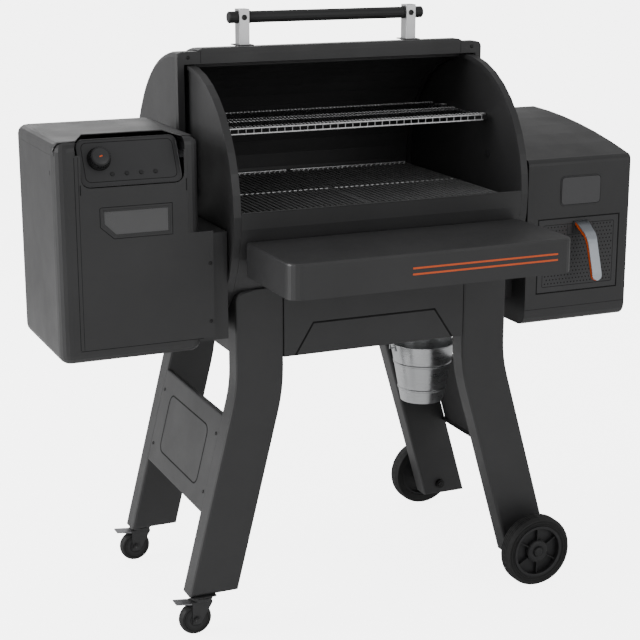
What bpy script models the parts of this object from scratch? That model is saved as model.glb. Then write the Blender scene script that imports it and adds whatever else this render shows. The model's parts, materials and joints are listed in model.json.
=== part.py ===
"""Pellet smoker grill: a barrel cooker on a four-legged cart, with a hopper and a side cupboard.

Metres, +Z up, -Y is the front. The parts are modelled about the barrel's middle plane and the
cart's middle plane, and one empty then puts the origin under the middle of the bounding box.
"""

import math

import bmesh
import bpy
from mathutils import Matrix, Vector

# ---- Clearances and sheet ----
SHEET = 0.002
SEAT = 0.0003
RUN = 0.0006
BIG = 0.05

# ---- Barrel ----
BARREL_R = 0.298
BARREL_Z = 0.977
BARREL_HALF = 0.363
RIM_WIDTH = 0.017
RIM_DEPTH = 0.011
RIM_STEP = 0.004
SILL_ANGLE = -1.2
CROWN_ANGLE = 267.5
BARREL_STEPS = 40
PIVOT_R = 0.008
PIVOT_REACH = 0.031
LEDGE_WIDTH = 0.035
RACK_PEG = 0.022

# ---- Lid ----
LID_R = 0.328
LID_SKIN_R = 0.335
LID_HALF = 0.388
LID_END_WIDTH = 0.056
LID_SIDE_BAND = 0.018
LID_EDGE_Y = -0.012
LID_DROP_ANGLE = 4.0
LID_INNER_R = BARREL_R + 0.0025
LID_CORNER_R = 0.012
LID_STEPS = 18
JOGGLE = 0.009
POST_X = 0.213
POST_Y = 0.031
POST_WIDTH = 0.025
POST_DEPTH = 0.030
POST_TOP = 1.394
BAR_Z = 1.375
BAR_R = 0.0135
BAR_NECK_R = 0.006
BAR_CAP = 0.022

# ---- Cooking furniture ----
GRATE_Z = 0.963
GRATE_THICK = 0.006
GRATE_HALF_Y = 0.278
GRATE_GAP = 0.004
GRATE_BARS = 15
GRATE_RIM = 0.008
BAR_SHARE = 0.14
RACK_Z = 1.137
RACK_THICK = 0.006
RACK_HALF_X = 0.316
RACK_FRONT = -0.138
RACK_BACK = 0.134
RACK_TAB_Y = 0.100
RACK_TAB = 0.010
RACK_BARS = 16
TRAY_Z = 0.836
TRAY_HALF_X = 0.335
TRAY_LIP = 0.014
BAFFLE_Z = 0.800
BAFFLE_HALF_X = 0.300
BAFFLE_HALF_Y = 0.160
POT_R = 0.055
POT_HEIGHT = 0.085
SPOUT_R = 0.012
SPOUT_BORE = 0.009
SPOUT_END_Z = 0.600

# ---- Cart ----
LEG_FACE_Y = 0.2474
LEG_WIDTH = 0.114
LEG_MID_X = 0.285
LEG_TOP_Z = 0.802
LEG_BEND_Z = 0.615
LEG_BEND_R = 0.360
LEG_FLANGE = 0.050
LEG_BEND_EDGE = 0.006
LEG_TOP_R = 0.022
SPLAY_LEFT = 14.0
SPLAY_RIGHT = 16.0
LEFT_FOOT_Z = 0.0935
RIGHT_FOOT_Z = 0.058
APRON_LOW_Z = 0.639
RAIL_LOW_Z = 0.650
PANEL_TOP_Z = 0.505
PANEL_LOW_Z = 0.277
PANEL_FLANGE = 0.014

# ---- Castors, on the left ----
CASTER_X = -0.430
CASTER_Y = 0.2335
CASTER_R = 0.038
CASTER_WIDTH = 0.024
CASTER_TRAIL = 0.018
CASTER_AXLE_R = 0.005
FORK_WALL = 0.003
FORK_TOP_Z = 0.0815
FORK_COLLAR_R = 0.022
BRAKE_LENGTH = 0.036
BRAKE_TRAVEL = 15.0

# ---- Large wheels, on the right ----
WHEEL_X = 0.412
WHEEL_R = 0.0885
WHEEL_RIM_R = 0.066
WHEEL_OUTER_Y = 0.325
WHEEL_WIDTH = 0.040
WHEEL_HUB_R = 0.028
WHEEL_RIBS = 6
WHEEL_FACES = (0.15, 0.85)
WHEEL_WEB = (0.45, 0.55)
WHEEL_STEPS = 32
AXLE_R = 0.006
AXLE_HEAD_R = 0.012
AXLE_SPACER_R = 0.014

def wheel_hub(name, base, rolling):
    """A moulded wheel with a closed web, and ribs on the web's outer face."""
    low, high = (WHEEL_WIDTH * share for share in WHEEL_FACES)
    web_low, web_high = (WHEEL_WIDTH * share for share in WHEEL_WEB)
    rim_inner = WHEEL_RIM_R - 3 * SHEET
    profile = [
        (AXLE_R + RUN, high),
        (WHEEL_HUB_R, high),
        (WHEEL_HUB_R, web_high),
        (rim_inner, web_high),
        (rim_inner, high),
        (WHEEL_RIM_R, high),
        (WHEEL_RIM_R, low),
        (rim_inner, low),
        (rim_inner, web_low),
        (WHEEL_HUB_R, web_low),
        (WHEEL_HUB_R, low),
        (AXLE_R + RUN, low),
    ]
    hub = turned(f"{name}_hub", profile, base, DARK, rolling, WHEEL_STEPS)
    rib_low = (WHEEL_HUB_R - SHEET, -SHEET / 2, web_high - SHEET)
    rib_high = (rim_inner + SHEET, SHEET / 2, high - SHEET)
    for rib in range(WHEEL_RIBS):
        turn = Matrix.Rotation(math.radians(360 / WHEEL_RIBS * (rib + 0.5)), 4, "Z")
        join(hub, block(f"{name}_rib_{rib}", rib_low, rib_high, carrier=rolling, pose=base @ turn))


# ---- Front shelf ----
SHELF_HALF = 0.336
SHELF_FRONT = -0.5485
SHELF_TOP_Z = 0.923
SHELF_LIP = 0.076
SHELF_CORNER_R = 0.030
SHELF_EDGE_R = 0.005
SHELF_SPACE = 0.0045
HINGE_RAIL_HALF = 0.300

# ---- Hopper, on the left ----
HOPPER_LEFT = -0.742
HOPPER_RIGHT = -0.428
HOPPER_FRONT = -0.272
HOPPER_BACK = 0.063
HOPPER_LOW_Z = 0.683
HOPPER_LID_Z = 1.128
HOPPER_TOP_Z = 1.156
HOPPER_CORNER_R = 0.026
HOPPER_EDGE_R = 0.020
LID_SEAM = 0.014
LID_GAP = 0.0015
NECK_FRONT = -0.255
NECK_BACK = 0.050
NECK_LOW_Z = 0.700
NECK_TOP_Z = 0.940
FRONT_LEFT = -0.700
FRONT_FLANGE_X = -0.401
FRONT_LOW_Z = 0.7115
FRONT_FLANGE_Z = 0.948
FRONT_SPLIT_X = -0.456
PANEL_X = -0.575
PANEL_HALF = 0.110
PANEL_HEIGHT = 0.105
PANEL_THICK = 0.010
PANEL_TILT = 27.0
PANEL_FOOT_Z = 1.060
PANEL_CORNER_R = 0.016
NOTCH_FRONT_LEFT = -0.699
NOTCH_FRONT_RIGHT = -0.461
NOTCH_BACK_LEFT = -0.655
NOTCH_BACK_RIGHT = -0.476
NOTCH_BACK_Y = -0.165
WINDOW_LEFT = -0.640
WINDOW_RIGHT = -0.501
WINDOW_LOW_Z = 0.957
WINDOW_TOP_Z = 1.0065
WINDOW_CHAMFER = 0.024
KNOB_R = 0.0225
KNOB_HEIGHT = 0.020
KNOB_X = -0.640
KNOB_UP = 0.060
BUTTON_R = 0.0038
BUTTON_LENGTH = 0.0125
BUTTON_PROUD = 0.0015
BUTTON_UP = 0.026
BUTTON_FIRST_X = -0.616
BUTTON_PITCH = 0.0312
BUTTON_COUNT = 4
BIN_FLANGE_Z = 1.105
BIN_MOUTH_FRONT = -0.140
BIN_MOUTH_BACK = 0.045
BIN_MOUTH_LEFT = -0.722
BIN_MOUTH_RIGHT = -0.448
BIN_FLOOR_Z = 0.758
BIN_THROAT = 0.020
AUGER_Z = 0.735
AUGER_TUBE_R = 0.030
AUGER_TUBE_BORE = 0.027
AUGER_FLIGHT_R = 0.0255
AUGER_SHAFT_R = 0.008
AUGER_PITCH = 0.050
AUGER_TURNS = 9
AUGER_LEFT = -0.660
MOTOR_LENGTH = 0.055
MOTOR_HALF = 0.034
FAN_X = -0.520
FAN_Y = -0.170
FAN_R = 0.045
FAN_BOSS_R = 0.018
FAN_BOSS_Z = 0.720
FAN_THICK = 0.024
FAN_BLADES = 12

# ---- Side cupboard, on the right ----
BOX_LEFT = 0.404
BOX_RIGHT = 0.688
BOX_FRONT = -0.232
BOX_BACK = 0.225
BOX_LOW_Z = 0.639
BOX_CORNER_R = 0.030
BOX_EDGE_R = 0.016
BOX_CROWN_Z = 1.105
BOX_CROWN_Y = 0.260
BOX_CROWN = 0.2748
BOX_NECK_HALF = 0.170
DOOR_LEFT = 0.4365
DOOR_RIGHT = 0.6605
DOOR_LOW_Z = 0.7175
DOOR_TOP_Z = 0.8955
DOOR_THICK = 0.018
DOOR_GAP = 0.0009
BADGE_LEFT = 0.496
BADGE_RIGHT = 0.603
BADGE_LOW_Z = 0.930
BADGE_TOP_Z = 0.995
BADGE_CORNER_R = 0.008
BADGE_THICK = 0.0015
PULL_X = 0.552
PULL_WIDTH = 0.034
PULL_THICK = 0.010
PULL_BEND_OUT = 0.050
PULL_BEND_DROP = 0.032
PULL_FOOT_OUT = 0.072
PULL_FOOT_DROP = 0.128
PULL_ROOT = 0.022

# ---- Grease bucket ----
BUCKET_X = 0.262
BUCKET_R = 0.082
BUCKET_FOOT_R = 0.054
BUCKET_TOP_Z = 0.555
BUCKET_HEIGHT = 0.152
BUCKET_WALL = 0.0012
BEAD = 0.003
EAR_DROP = 0.010
EAR_R = 0.006
BAIL_R = 0.0018
BAIL_TOP_Z = 0.632
HOOK_REACH = 0.022
HOOK_R = 0.003

# ---- Where the origin goes: under the middle of the bounding box ----
MIDDLE_X = (HOPPER_LEFT + BOX_RIGHT) / 2
MIDDLE_Y = (SHELF_FRONT + LID_SKIN_R) / 2

SMOOTH_ANGLE = math.radians(35)
TINY = 1e-5


def clear_scene():
    for obj in list(bpy.data.objects):
        bpy.data.objects.remove(obj, do_unlink=True)


def make_collection(name):
    collection = bpy.data.collections.new(name)
    bpy.context.scene.collection.children.link(collection)
    return collection


clear_scene()
PARTS = make_collection("pellet_smoker_grill")
CUTTERS = make_collection("cutters")
CUTTERS.hide_render = True
FRAME = bpy.data.objects.new("grill_frame", None)
FRAME.location = (-MIDDLE_X, -MIDDLE_Y, 0.0)
PARTS.objects.link(FRAME)


# ---- Materials ----
def finish(name, colour, roughness, metallic=0.0):
    made = bpy.data.materials.new(name)
    made.use_nodes = True
    made.diffuse_color = (*colour, 1.0)
    shader = made.node_tree.nodes["Principled BSDF"]
    shader.inputs["Base Color"].default_value = (*colour, 1.0)
    shader.inputs["Roughness"].default_value = roughness
    shader.inputs["Metallic"].default_value = metallic
    return made


POWDER = finish("powder_coat", (0.035, 0.035, 0.036), 0.5)
SATIN = finish("satin_panel", (0.05, 0.05, 0.052), 0.45)
DARK = finish("dark_plastic", (0.02, 0.02, 0.02), 0.55)
RUBBER = finish("black_rubber", (0.015, 0.015, 0.015), 0.8)
BRUSHED = finish("brushed_steel", (0.62, 0.63, 0.65), 0.3, 1.0)
CHROME = finish("chrome_wire", (0.8, 0.8, 0.8), 0.15, 1.0)
ENAMEL = finish("grate_enamel", (0.05, 0.05, 0.05), 0.35)
ZINC = finish("galvanised_steel", (0.55, 0.56, 0.57), 0.38, 1.0)
GLASS = finish("smoked_window", (0.11, 0.11, 0.115), 0.15)
BADGE = finish("badge_plate", (0.09, 0.09, 0.095), 0.4)


# ---- Objects and pivots ----
def pivot(name, x, y, z, parent=None):
    """An empty on a joint's axis, which carries the pieces that turn or slide about it."""
    empty = bpy.data.objects.new(name, None)
    PARTS.objects.link(empty)
    empty.parent = parent or FRAME
    here = Matrix.Translation((x, y, z))
    empty["place"] = (x, y, z)
    carrier = Vector(empty.parent.get("place", (0.0, 0.0, 0.0)))
    empty.matrix_parent_inverse = Matrix.Translation(-carrier)
    empty.matrix_basis = here
    return empty


def place(name, mesh, look, carrier=None, pose=None):
    """A named part. Its mesh is in the cart's frame unless a pose moves it there."""
    obj = bpy.data.objects.new(name, mesh)
    obj.parent = carrier or FRAME
    carried = Vector(obj.parent.get("place", (0.0, 0.0, 0.0)))
    obj.matrix_parent_inverse = Matrix.Translation(-carried)
    obj.matrix_basis = pose or Matrix.Identity(4)
    if look is None:
        CUTTERS.objects.link(obj)
        obj.hide_render = True
        obj.display_type = "WIRE"
    else:
        PARTS.objects.link(obj)
        mesh.materials.append(look)
        mesh.shade_smooth()
        mesh.set_sharp_from_angle(angle=SMOOTH_ANGLE)
    return obj


def mesh_of(name, bm):
    mesh = bpy.data.meshes.new(name)
    bm.to_mesh(mesh)
    bm.free()
    return mesh


def cut(target, cutter):
    modifier = target.modifiers.new("cut_" + cutter.name, "BOOLEAN")
    modifier.operation = "DIFFERENCE"
    modifier.object = cutter


def join(target, piece):
    modifier = target.modifiers.new("join_" + piece.name, "BOOLEAN")
    modifier.operation = "UNION"
    modifier.object = piece


def thicken(obj, wall, side=-1.0):
    modifier = obj.modifiers.new("wall", "SOLIDIFY")
    modifier.thickness = wall
    modifier.offset = side
    modifier.use_even_offset = True


# ---- Shapes ----
def box_bmesh(low, high):
    bm = bmesh.new()
    bmesh.ops.create_cube(bm, size=1.0)
    size = [b - a for a, b in zip(low, high)]
    middle = [(a + b) / 2 for a, b in zip(low, high)]
    bmesh.ops.scale(bm, vec=size, verts=bm.verts)
    bmesh.ops.translate(bm, vec=middle, verts=bm.verts)
    return bm


def round_edges(bm, test, radius, segments=3):
    """Rounds the edges whose two ends both pass the test."""
    edges = [edge for edge in bm.edges if all(test(vert.co) for vert in edge.verts)]
    bmesh.ops.bevel(bm, geom=edges, offset=radius, segments=segments, profile=0.5, affect="EDGES")


def block(name, low, high, look=None, carrier=None, radius=0.0, pose=None):
    bm = box_bmesh(low, high)
    if radius:
        round_edges(bm, lambda co: True, radius, 2)
    return place(name, mesh_of(name, bm), look, carrier, pose)


def open_box(bm, side):
    """Takes away the face whose outward normal is the given side."""
    bm.normal_update()
    faces = [face for face in bm.faces if face.normal.dot(Vector(side)) > 0.99]
    bmesh.ops.delete(bm, geom=faces, context="FACES_ONLY")


def arc(centre, radius, first, last, steps):
    """Points on a circle, from one angle to another, in degrees."""
    points = []
    for step in range(steps + 1):
        angle = math.radians(first + (last - first) * step / steps)
        points.append((centre[0] + radius * math.cos(angle), centre[1] + radius * math.sin(angle)))
    return points


def rounded_rectangle(left, right, low, top, radius, steps=3):
    corners = (
        ((right - radius, low + radius), -90),
        ((right - radius, top - radius), 0),
        ((left + radius, top - radius), 90),
        ((left + radius, low + radius), 180),
    )
    points = []
    for centre, start in corners:
        points += arc(centre, radius, start, start + 90, steps)
    return points


PLANES = {
    "X": Matrix(((0, 0, 1, 0), (1, 0, 0, 0), (0, 1, 0, 0), (0, 0, 0, 1))),
    "Y": Matrix(((1, 0, 0, 0), (0, 0, -1, 0), (0, 1, 0, 0), (0, 0, 0, 1))),
    "Z": Matrix.Identity(4),
}


def prism(name, outlines, axis, start, end, look=None, carrier=None, pose=None):
    """A flat outline, with any holes after it, drawn across one axis and extruded along it.

    Along X the outline is in Y and Z, along Y in X and Z, along Z in X and Y.
    """
    curve = bpy.data.curves.new(name, "CURVE")
    curve.dimensions = "2D"
    curve.fill_mode = "BOTH"
    curve.extrude = abs(end - start) / 2
    for outline in outlines:
        spline = curve.splines.new("POLY")
        spline.points.add(len(outline) - 1)
        for point, (u, v) in zip(spline.points, outline):
            point.co = (u, v, 0.0, 1.0)
        spline.use_cyclic_u = True
    drawn = bpy.data.objects.new(name, curve)
    bpy.context.scene.collection.objects.link(drawn)
    bpy.context.view_layer.update()
    graph = bpy.context.evaluated_depsgraph_get()
    mesh = bpy.data.meshes.new_from_object(drawn.evaluated_get(graph))
    bpy.data.objects.remove(drawn, do_unlink=True)
    middle = (start + end) / 2
    shift = {"X": (middle, 0, 0), "Y": (0, middle, 0), "Z": (0, 0, middle)}[axis]
    mesh.transform(Matrix.Translation(shift) @ PLANES[axis])
    bm = bmesh.new()
    bm.from_mesh(mesh)
    bmesh.ops.remove_doubles(bm, verts=bm.verts, dist=TINY)
    bmesh.ops.recalc_face_normals(bm, faces=bm.faces)
    bm.to_mesh(mesh)
    bm.free()
    mesh.materials.clear()
    return place(name, mesh, look, carrier, pose)


def pan(name, outline, axis, at, depth, wall, look, bend, open_edges=(), carrier=None, pose=None):
    """A pressed panel: a face across one axis, with a flange round it, except on the open edges."""
    bm = bmesh.new()
    turn = PLANES[axis]
    along = {"X": Vector((1, 0, 0)), "Y": Vector((0, 1, 0)), "Z": Vector((0, 0, 1))}[axis]
    verts = [bm.verts.new(turn @ Vector((u, v, 0.0)) + along * at) for u, v in outline]
    face = bm.faces.new(verts)
    bm.edges.index_update()
    count = len(verts)
    bends = [
        bm.edges.get((verts[i], verts[(i + 1) % count])) for i in range(count) if i not in open_edges
    ]
    made = bmesh.ops.extrude_edge_only(bm, edges=bends)
    moved = [item for item in made["geom"] if isinstance(item, bmesh.types.BMVert)]
    bmesh.ops.translate(bm, vec=along * depth, verts=moved)
    bmesh.ops.recalc_face_normals(bm, faces=bm.faces)
    if face.normal.dot(along) * depth > 0:
        bmesh.ops.reverse_faces(bm, faces=bm.faces)
    if bend:
        bmesh.ops.bevel(bm, geom=bends, offset=bend, segments=2, profile=0.5, affect="EDGES")
    obj = place(name, mesh_of(name, bm), look, carrier, pose)
    thicken(obj, wall)
    return obj


def swept_sheet(name, points, stations, wall, look, side, carrier=None):
    """A sheet drawn through (y, z) points and carried along X through stations (x, growth)."""
    bm = bmesh.new()
    rows = []
    for x, growth in stations:
        rows.append([bm.verts.new((x, *grow(point, growth))) for point in points])
    for row, following in zip(rows, rows[1:]):
        for i in range(len(points) - 1):
            bm.faces.new((row[i], row[i + 1], following[i + 1], following[i]))
    obj = place(name, mesh_of(name, bm), look, carrier)
    thicken(obj, wall, side)
    return obj


def grow(point, growth):
    """Moves a (y, z, share) point away from the barrel's axis by its share of the growth."""
    y, z, share = point
    distance = math.hypot(y, z - BARREL_Z)
    scale = 1 + share * growth / distance
    return y * scale, BARREL_Z + (z - BARREL_Z) * scale


def turned(name, profile, pose, look=None, carrier=None, steps=32):
    """A profile of (radius, height) points turned about the pose's Z axis."""
    area = 0.0
    closed = profile + profile[:1]
    for (r0, h0), (r1, h1) in zip(closed, closed[1:]):
        area += r0 * h1 - r1 * h0
    ordered = profile if area < 0 else profile[::-1]
    bm = bmesh.new()
    verts = [bm.verts.new((radius, 0.0, height)) for radius, height in ordered]
    for first, second in zip(verts, verts[1:]):
        bm.edges.new((first, second))
    if ordered[0][0] > 0 or ordered[-1][0] > 0:
        bm.edges.new((verts[-1], verts[0]))
    obj = place(name, mesh_of(name, bm), look, carrier, pose)
    screw = obj.modifiers.new("turn", "SCREW")
    screw.steps = steps
    screw.render_steps = steps
    screw.use_merge_vertices = True
    screw.merge_threshold = TINY
    screw.use_smooth_shade = True
    return obj


def cylinder(name, radius, height, pose, look=None, carrier=None, steps=32):
    profile = [(0.0, height), (radius, height), (radius, 0.0), (0.0, 0.0)]
    return turned(name, profile, pose, look, carrier, steps)


def rod(name, points, radius, look=None, carrier=None, sides=2):
    """A round bar along a list of points."""
    curve = bpy.data.curves.new(name, "CURVE")
    curve.dimensions = "3D"
    curve.bevel_depth = radius
    curve.bevel_resolution = sides
    curve.use_fill_caps = True
    spline = curve.splines.new("POLY")
    spline.points.add(len(points) - 1)
    for point, place_of in zip(spline.points, points):
        point.co = (*place_of, 1.0)
    drawn = bpy.data.objects.new(name, curve)
    bpy.context.scene.collection.objects.link(drawn)
    bpy.context.view_layer.update()
    graph = bpy.context.evaluated_depsgraph_get()
    mesh = bpy.data.meshes.new_from_object(drawn.evaluated_get(graph))
    bpy.data.objects.remove(drawn, do_unlink=True)
    bm = bmesh.new()
    bm.from_mesh(mesh)
    bmesh.ops.remove_doubles(bm, verts=bm.verts, dist=TINY)
    bmesh.ops.recalc_face_normals(bm, faces=bm.faces)
    bm.to_mesh(mesh)
    bm.free()
    mesh.materials.clear()
    return place(name, mesh, look, carrier)


def facing(axis, x, y, z):
    """A pose that puts a turned part's own Z along an axis, its base at the given point."""
    turns = {
        "+X": Matrix.Rotation(math.radians(90), 4, "Y"),
        "-X": Matrix.Rotation(math.radians(-90), 4, "Y"),
        "+Y": Matrix.Rotation(math.radians(-90), 4, "X"),
        "-Y": Matrix.Rotation(math.radians(90), 4, "X"),
        "+Z": Matrix.Identity(4),
        "-Z": Matrix.Rotation(math.radians(180), 4, "X"),
    }
    return Matrix.Translation((x, y, z)) @ turns[axis]


# ---- Barrel ----
def around_barrel(radius, first, last, steps):
    """(y, z, 1) points round the barrel's axis, from the front down and under to the back."""
    points = []
    for y, z in arc((0.0, 0.0), radius, first, last, steps):
        points.append((-y, BARREL_Z - z, 1.0))
    return points


def barrel_shell():
    half = BARREL_HALF - RIM_WIDTH - SEAT
    points = around_barrel(BARREL_R, SILL_ANGLE, CROWN_ANGLE, BARREL_STEPS)
    shell = swept_sheet("barrel_shell", points, [(-half, 0.0), (half, 0.0)], SHEET, POWDER, -1.0)
    ledge_top = GRATE_Z - SEAT
    for side in (-1, 1):
        ends = sorted((side * (BARREL_R - SHEET / 2), side * (BARREL_R - LEDGE_WIDTH)))
        low = (-half + SHEET, ends[0], ledge_top - SHEET)
        high = (half - SHEET, ends[1], ledge_top)
        join(shell, block(f"grate_ledge_{side}", low, high))
    hole_base = facing("+Z", BUCKET_X, 0.0, BARREL_Z - BARREL_R - BIG)
    cut(shell, cylinder("spout_hole", SPOUT_R + RUN, 2 * BIG, hole_base))
    return shell


def end_plate(name, side):
    face = BARREL_HALF - RIM_STEP
    rim = BARREL_R - RIM_DEPTH
    profile = [
        (0.0, face + PIVOT_REACH),
        (PIVOT_R, face + PIVOT_REACH),
        (PIVOT_R, face),
        (rim, face),
        (rim + SHEET, BARREL_HALF),
        (BARREL_R, BARREL_HALF),
        (BARREL_R, BARREL_HALF - RIM_WIDTH),
        (rim, BARREL_HALF - RIM_WIDTH),
        (rim, BARREL_HALF - RIM_WIDTH + SHEET),
        (BARREL_R - SHEET, BARREL_HALF - RIM_WIDTH + SHEET),
        (BARREL_R - SHEET, BARREL_HALF - SHEET),
        (rim + 2 * SHEET, BARREL_HALF - SHEET),
        (rim, face - SHEET),
        (0.0, face - SHEET),
    ]
    pose = facing("+X" if side > 0 else "-X", 0.0, 0.0, BARREL_Z)
    plate = turned(name, profile, pose, POWDER, steps=BARREL_STEPS)
    for peg_side in (-1, 1):
        ends = sorted((side * (face - SHEET / 2), side * (face - SHEET - RACK_PEG)))
        middle = peg_side * RACK_TAB_Y
        low = (ends[0], middle - RACK_TAB, RACK_Z - SEAT - RACK_TAB)
        high = (ends[1], middle + RACK_TAB, RACK_Z - SEAT)
        join(plate, block(f"{name}_peg_{peg_side}", low, high))
    return plate


def end_plates():
    left = end_plate("left_end_plate", -1)
    end_plate("right_end_plate", 1)
    hole = facing("-X", BIG - BARREL_HALF, 0.0, AUGER_Z)
    cut(left, cylinder("auger_hole", AUGER_TUBE_R + RUN, 2 * BIG, hole))


# ---- Lid ----
def lid(carrier):
    half = LID_HALF - LID_END_WIDTH
    edge = math.degrees(math.asin(-LID_EDGE_Y / LID_SKIN_R))
    front = LID_EDGE_Y - SHEET - RUN
    lowest = math.sqrt(LID_INNER_R**2 - front**2)
    crown = [(y, z) for y, z in arc((0.0, BARREL_Z), LID_SKIN_R, 90 + edge, -LID_DROP_ANGLE, LID_STEPS)]
    points = [(front, BARREL_Z + lowest, 0.0), (front, crown[0][1], 1.0)]
    points += [(y, z, 1.0) for y, z in crown[1:]]
    low_growth = LID_R + SEAT + SHEET - LID_SKIN_R
    stations = [
        (-half - JOGGLE / 2, low_growth),
        (-half + JOGGLE / 2, 0.0),
        (half - JOGGLE / 2, 0.0),
        (half + JOGGLE / 2, low_growth),
    ]
    swept_sheet("lid_skin", points, stations, SHEET, POWDER, 1.0, carrier)
    for name, side in (("left_lid_end", -1), ("right_lid_end", 1)):
        lid_end(name, side, carrier)
    for name, side in (("left_handle_post", -1), ("right_handle_post", 1)):
        handle_post(name, side, carrier)
    handle_bar(carrier)


def lid_end(name, side, carrier):
    edge = math.degrees(math.asin(-LID_EDGE_Y / LID_R))
    drop = LID_R * math.sin(math.radians(LID_DROP_ANGLE))
    rounded = arc((0.0, BARREL_Z), LID_R, -LID_DROP_ANGLE, 90 + edge, LID_STEPS)
    outline = rounded + [(LID_EDGE_Y, BARREL_Z - drop)]
    open_edges = (len(outline) - 1,)
    end = pan(
        name,
        outline,
        "X",
        side * LID_HALF,
        -side * LID_END_WIDTH,
        SHEET,
        POWDER,
        LID_CORNER_R,
        open_edges,
        carrier,
    )
    inner = facing("+X" if side > 0 else "-X", side * (LID_HALF - LID_END_WIDTH - BIG), 0.0, BARREL_Z)
    reach = LID_END_WIDTH + BIG - LID_SIDE_BAND
    cut(end, cylinder(f"{name}_clear", LID_INNER_R, reach, inner, carrier=carrier, steps=BARREL_STEPS))
    bore = facing("+X" if side > 0 else "-X", side * (LID_HALF - BIG), 0.0, BARREL_Z)
    cut(end, cylinder(f"{name}_bore", PIVOT_R + RUN, 2 * BIG, bore, carrier=carrier))


def handle_post(name, side, carrier):
    middle = side * POST_X
    low = (middle - POST_WIDTH / 2, POST_Y - POST_DEPTH / 2, BARREL_Z + LID_R)
    high = (middle + POST_WIDTH / 2, POST_Y + POST_DEPTH / 2, POST_TOP)
    post = block(name, low, high, BRUSHED, carrier, SHEET / 2)
    start = facing("+X", middle - BIG, 0.0, BARREL_Z)
    cut(post, cylinder(f"{name}_saddle", LID_SKIN_R + SEAT, 2 * BIG, start, carrier=carrier, steps=96))
    bore = facing("+X", middle - BIG, POST_Y, BAR_Z)
    cut(post, cylinder(f"{name}_bore", BAR_NECK_R + SEAT, 2 * BIG, bore, carrier=carrier, steps=16))


def handle_bar(carrier):
    outer = POST_X + POST_WIDTH / 2 + SEAT
    inner = POST_X - POST_WIDTH / 2 - SEAT
    end = outer + BAR_CAP
    profile = [
        (0.0, end),
        (BAR_R - SHEET, end),
        (BAR_R, end - SHEET),
        (BAR_R, outer),
        (BAR_NECK_R, outer),
        (BAR_NECK_R, inner),
        (BAR_R, inner),
    ]
    mirrored = [(radius, -height) for radius, height in reversed(profile)]
    turned("handle_bar", profile + mirrored, facing("+X", 0.0, POST_Y, BAR_Z), DARK, carrier, 16)


# ---- Grates, rack and the pieces under them ----
def slotted(name, left, right, front, back, rim, bars, thick, base, look, carrier, tabs=()):
    """A flat grille: one outline with a slot between each two bars, which run from front to back."""
    outlines = [outline_with_tabs(left, right, front, back, tabs)]
    pitch = (right - left - 2 * rim) / bars
    for index in range(bars):
        start = left + rim + (index + BAR_SHARE) * pitch
        stop = left + rim + (index + 1 - BAR_SHARE) * pitch
        outlines.append([
            (start, front + rim),
            (stop, front + rim),
            (stop, back - rim),
            (start, back - rim),
        ])
    return prism(name, outlines, "Z", base, base + thick, look, carrier)


def outline_with_tabs(left, right, front, back, tabs):
    """A rectangle with a tab out of each end at each of the given places."""
    reach, half, places = tabs or (0.0, 0.0, ())
    points = [(left, front), (right, front)]
    for middle in places:
        points += [
            (right, middle - half),
            (right + reach, middle - half),
            (right + reach, middle + half),
            (right, middle + half),
        ]
    points += [(right, back), (left, back)]
    for middle in reversed(places):
        points += [
            (left, middle + half),
            (left - reach, middle + half),
            (left - reach, middle - half),
            (left, middle - half),
        ]
    return points


def cooking_surfaces():
    outer = BARREL_HALF - RIM_WIDTH - 5 * SHEET
    for name, side in (("left_grate", -1), ("right_grate", 1)):
        left, right = sorted((side * GRATE_GAP / 2, side * outer))
        centre = pivot(f"{name}_lift", (left + right) / 2, 0.0, GRATE_Z)
        slotted(
            name, left, right, -GRATE_HALF_Y, GRATE_HALF_Y, GRATE_RIM, GRATE_BARS,
            GRATE_THICK, GRATE_Z, ENAMEL, centre,
        )
    reach = BARREL_HALF - RIM_STEP - SHEET - RACK_HALF_X - 2 * RUN
    centre = pivot("warming_rack_lift", 0.0, 0.0, RACK_Z)
    slotted(
        "warming_rack", -RACK_HALF_X, RACK_HALF_X, RACK_FRONT, RACK_BACK, GRATE_RIM, RACK_BARS,
        RACK_THICK, RACK_Z, CHROME, centre, (reach, RACK_TAB - SHEET, (-RACK_TAB_Y, RACK_TAB_Y)),
    )


def inside_half(z):
    """Half the barrel's clear width at a height, allowing for its flat facets."""
    facet = math.cos(math.radians((CROWN_ANGLE - SILL_ANGLE) / BARREL_STEPS / 2))
    clear = (BARREL_R - SHEET) * facet
    return math.sqrt(clear**2 - (z - BARREL_Z) ** 2)


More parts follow.
